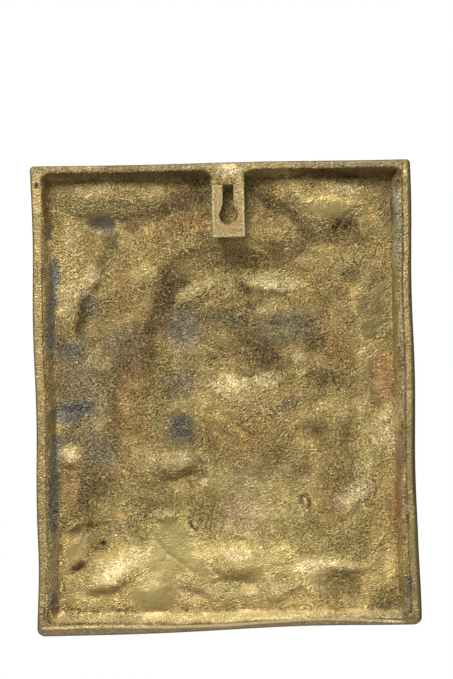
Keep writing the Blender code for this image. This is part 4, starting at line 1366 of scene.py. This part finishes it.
def clouds(tree, vector, form):
    node = noise_node(tree, vector, 1 / form.size, form.detail, form.roughness)
    return remap(tree, node.outputs["Fac"], form.span)


def mask(tree, name):
    return add_node(tree, "ShaderNodeAttribute", attribute_name=name).outputs["Fac"]


def object_place(tree):
    return add_node(tree, "ShaderNodeTexCoord").outputs["Object"]


def moved(tree, vector, shift):
    return add_node(tree, "ShaderNodeVectorMath", {0: vector, 1: shift}, operation="ADD").outputs[0]


def speckled(tree, colour, speckle):
    """The colour made lighter and darker by a speckle round 1."""
    grey = add_node(tree, "ShaderNodeCombineColor", {0: speckle, 1: speckle, 2: speckle})
    return blend(tree, 1.0, colour, grey.outputs[0], "MULTIPLY")


def new_group(name, inputs, outputs):
    tree = bpy.data.node_groups.new(name, "ShaderNodeTree")
    for label, kind in inputs.items():
        tree.interface.new_socket(label, in_out="INPUT", socket_type=kind)
    for label in outputs:
        tree.interface.new_socket(label, in_out="OUTPUT", socket_type="NodeSocketFloat")
    return tree, tree.nodes.new("NodeGroupInput").outputs, tree.nodes.new("NodeGroupOutput").inputs


def slanted_strokes(tree, vector, stretch):
    inputs = {"Vector": vector, "Rotation": (0, GRAIN_SLANT, 0), "Scale": (stretch, 1, 1)}
    return add_node(tree, "ShaderNodeMapping", inputs, vector_type="TEXTURE").outputs[0]


def grain_layer(tree, vector, scale, layer, kind="FBM"):
    scale = product(tree, scale, layer.scale)
    return noise_node(tree, vector, scale, layer.detail, layer.roughness, kind).outputs["Fac"]


def cast_grain_group():
    """Grain of sand-cast brass of a given size: a height, folds, a speckle round 1 and bright glints."""
    inputs = {"Vector": "NodeSocketVector", "Size": "NodeSocketFloat"}
    tree, given, wanted = new_group("cast grain", inputs, ("Height", "Speckle", "Glint", "Folds"))
    bend = noise_node(tree, given["Vector"], 1 / BEND_SIZE, 1).outputs["Color"]
    bent = {0: bend, 1: (BEND, BEND, BEND), 2: given["Vector"]}
    bent = add_node(tree, "ShaderNodeVectorMath", bent, operation="MULTIPLY_ADD").outputs[0]
    vector = slanted_strokes(tree, bent, GRAIN_STRETCH)
    thin = slanted_strokes(tree, bent, STROKE_STRETCH)
    scale = calculate(tree, "DIVIDE", 1, given["Size"])
    coarse = grain_layer(tree, vector, scale, COARSE)
    medium = grain_layer(tree, vector, scale, MEDIUM)
    fine = grain_layer(tree, thin, scale, FINE)
    folds = grain_layer(tree, vector, scale, FOLDS, "RIDGED_MULTIFRACTAL")
    raised = ((coarse, COARSE), (medium, MEDIUM), (fine, FINE))
    height = total(tree, *(product(tree, value, layer.share) for value, layer in raised))
    speckle = product(tree, remap(tree, medium, BROAD_SPECKLE), remap(tree, fine, FINE_SPECKLE))
    feed(tree, height, wanted["Height"])
    feed(tree, speckle, wanted["Speckle"])
    feed(tree, remap(tree, fine, GLINTING), wanted["Glint"])
    feed(tree, folds, wanted["Folds"])
    return tree


def place_grain(tree, group, place, size):
    inputs = {"Vector": place, "Size": size}
    return add_node(tree, "ShaderNodeGroup", inputs, node_tree=group).outputs


def new_material(name, metallic, roughness):
    material = bpy.data.materials.new(name)
    material.use_nodes = True
    tree = material.node_tree
    shader = tree.nodes["Principled BSDF"]
    shader.inputs["Metallic"].default_value = metallic
    shader.inputs["Roughness"].default_value = roughness
    return material, tree, shader


def roughen(tree, shader, height, distance, strength):
    inputs = {"Height": height, "Distance": distance, "Strength": strength}
    bump = add_node(tree, "ShaderNodeBump", inputs)
    feed(tree, bump.outputs[0], shader.inputs["Normal"])


def casting_metal(grain_group):
    """Old cast brass: the tones of its patina and of painted light and shade lie over one another as the
    masks say.
    """
    material, tree, shader = new_material("old cast brass", CASTING_METALLIC, CASTING_ROUGHNESS)
    place = object_place(tree)
    shifted = moved(tree, place, CLOUD_SHIFT)
    grain = place_grain(tree, grain_group, place, CASTING_GRAIN)
    smooth = mask(tree, "smooth")
    colour = blend(tree, clouds(tree, place, GOLDEN_CLOUDS), BRASS, GOLDEN)
    dim = product(tree, clouds(tree, shifted, DIM_CLOUDS), remap(tree, smooth, DIM_WHERE_SMOOTH))
    colour = blend(tree, dim, colour, DIM_BRASS)
    colour = blend(tree, clouds(tree, place, OCHRE_CLOUDS), colour, RUSTY_BRASS)
    colour = blend(tree, mask(tree, "rim"), colour, RIM_BRASS)
    ragged = clouds(tree, place, RAGGED_CLOUDS)
    for tone, tint in TONE_COLOURS.items():
        shown = mask(tree, tone)
        share = calculate(tree, "ADD", shown, product(tree, ragged, shown), clamp=True)
        colour = blend(tree, product(tree, share, TONE_STRENGTH), colour, tint)
    calm = product(tree, clouds(tree, shifted, GRAINY_CLOUDS), remap(tree, smooth, GRAIN_WHERE_SMOOTH))
    speckle = product(tree, calm, calculate(tree, "SUBTRACT", grain["Speckle"], 1))
    colour = speckled(tree, colour, total(tree, speckle, 1))
    colour = blend(tree, product(tree, grain["Glint"], calm, GLINT_SHARE), colour, GLINT)
    # Painted shade along the outer edge and in the side rims' creases
    colour = blend(tree, product(tree, mask(tree, "edge"), EDGE_STRENGTH), colour, PAINTED_EDGE_SHADE)
    # Painted shade in the pits
    colour = blend(tree, remap(tree, mask(tree, "pit"), PIT_SHADE), colour, PAINTED_PIT_SHADE)
    feed(tree, colour, shader.inputs["Base Color"])
    rough = total(tree, product(tree, ragged, RAGGED_ROUGHNESS), CASTING_ROUGHNESS)
    feed(tree, rough, shader.inputs["Roughness"])
    height = total(tree, grain["Height"], product(tree, grain["Folds"], FOLDS.share))
    roughen(tree, shader, height, CASTING_BUMP, calm)
    return material


def strap_metal(grain_group):
    """The strap's dull tan brass, speckled, and paler along its worn edges."""
    material, tree, shader = new_material("strap brass", STRAP_METALLIC, STRAP_ROUGHNESS)
    place = object_place(tree)
    grain = place_grain(tree, grain_group, place, STRAP_GRAIN)
    colour = blend(tree, clouds(tree, place, STRAP_CLOUDS), STRAP_BRASS, STRAP_GOLD)
    colour = speckled(tree, colour, remap(tree, grain["Speckle"], STRAP_SPECKLE))
    worn = product(tree, mask(tree, "worn"), remap(tree, grain["Speckle"], WORN_SPECKLE))
    feed(tree, blend(tree, worn, colour, STRAP_EDGE), shader.inputs["Base Color"])
    roughen(tree, shader, grain["Height"], STRAP_BUMP, STRAP_BUMP_STRENGTH)
    return material


def make_lamps():
    for name, lamp in LAMPS.items():
        data = bpy.data.lights.new(name, "AREA")
        data.shape = "RECTANGLE"
        data.size, data.size_y = lamp.size
        data.energy = lamp.power
        data.color = lamp.colour
        made = add_object(name, data)
        made.location = PLAQUE_MIDDLE + Vector(lamp.place)
        made.rotation_euler = Vector(lamp.place).to_track_quat("Z", "Y").to_euler()


def make_camera():
    """A camera square to the back, turned by the plaque's lean, with the photograph's frame."""
    data = bpy.data.cameras.new("camera")
    camera = add_object("camera", data)
    bpy.context.scene.camera = camera
    data.sensor_fit = "VERTICAL"
    data.sensor_height = SENSOR_HEIGHT
    data.lens = SENSOR_HEIGHT * CAMERA_DISTANCE / (PHOTO_HEIGHT * PIXEL)
    right, up = from_photo(PHOTO_WIDTH / 2, PHOTO_HEIGHT / 2)
    c, s = math.cos(LEAN), math.sin(LEAN)
    turn = Matrix(((-c, -s, 0), (0, 0, 1), (-s, c, 0))).to_4x4()
    place = (CENTRE_X - right, RIM_Y + CAMERA_DISTANCE, CENTRE_Z + up)
    camera.matrix_world = Matrix.Translation(place) @ turn


def make_world():
    """White where the camera looks, and for everything else a pale sky that darkens downwards."""
    world = bpy.data.worlds.new("studio")
    bpy.context.scene.world = world
    world.use_nodes = True
    tree = world.node_tree
    tree.nodes.clear()
    bearing = add_node(tree, "ShaderNodeTexCoord").outputs["Generated"]
    height = add_node(tree, "ShaderNodeSeparateXYZ", {0: bearing}).outputs["Z"]
    sky = {"Color": (1, 1, 1), "Strength": remap(tree, height, SKY_SPAN)}
    sky = add_node(tree, "ShaderNodeBackground", sky).outputs[0]
    white = add_node(tree, "ShaderNodeBackground", {"Color": (1, 1, 1)}).outputs[0]
    seen = add_node(tree, "ShaderNodeLightPath").outputs["Is Camera Ray"]
    mix = add_node(tree, "ShaderNodeMixShader", {0: seen, 1: sky, 2: white}).outputs[0]
    add_node(tree, "ShaderNodeOutputWorld", {"Surface": mix})


def make_floor():
    bm = bmesh.new()
    bmesh.ops.create_grid(bm, x_segments=2, y_segments=2, size=FLOOR_HALF)
    bmesh.ops.translate(bm, vec=(0, 0, CAD_BOX[0][2] - FLOOR_BELOW), verts=bm.verts[:])
    floor = add_object("studio_floor", new_mesh("studio_floor", bm))
    material, tree, shader = new_material("pale floor", 0, FLOOR_ROUGHNESS)
    feed(tree, FLOOR_GREY, shader.inputs["Base Color"])
    floor.data.materials.append(material)


grain_group = cast_grain_group()
build_casting(casting_metal(grain_group))
build_strap(strap_metal(grain_group))
make_camera()
make_world()
make_floor()
make_lamps()
bpy.context.scene.view_settings.view_transform = "Standard"
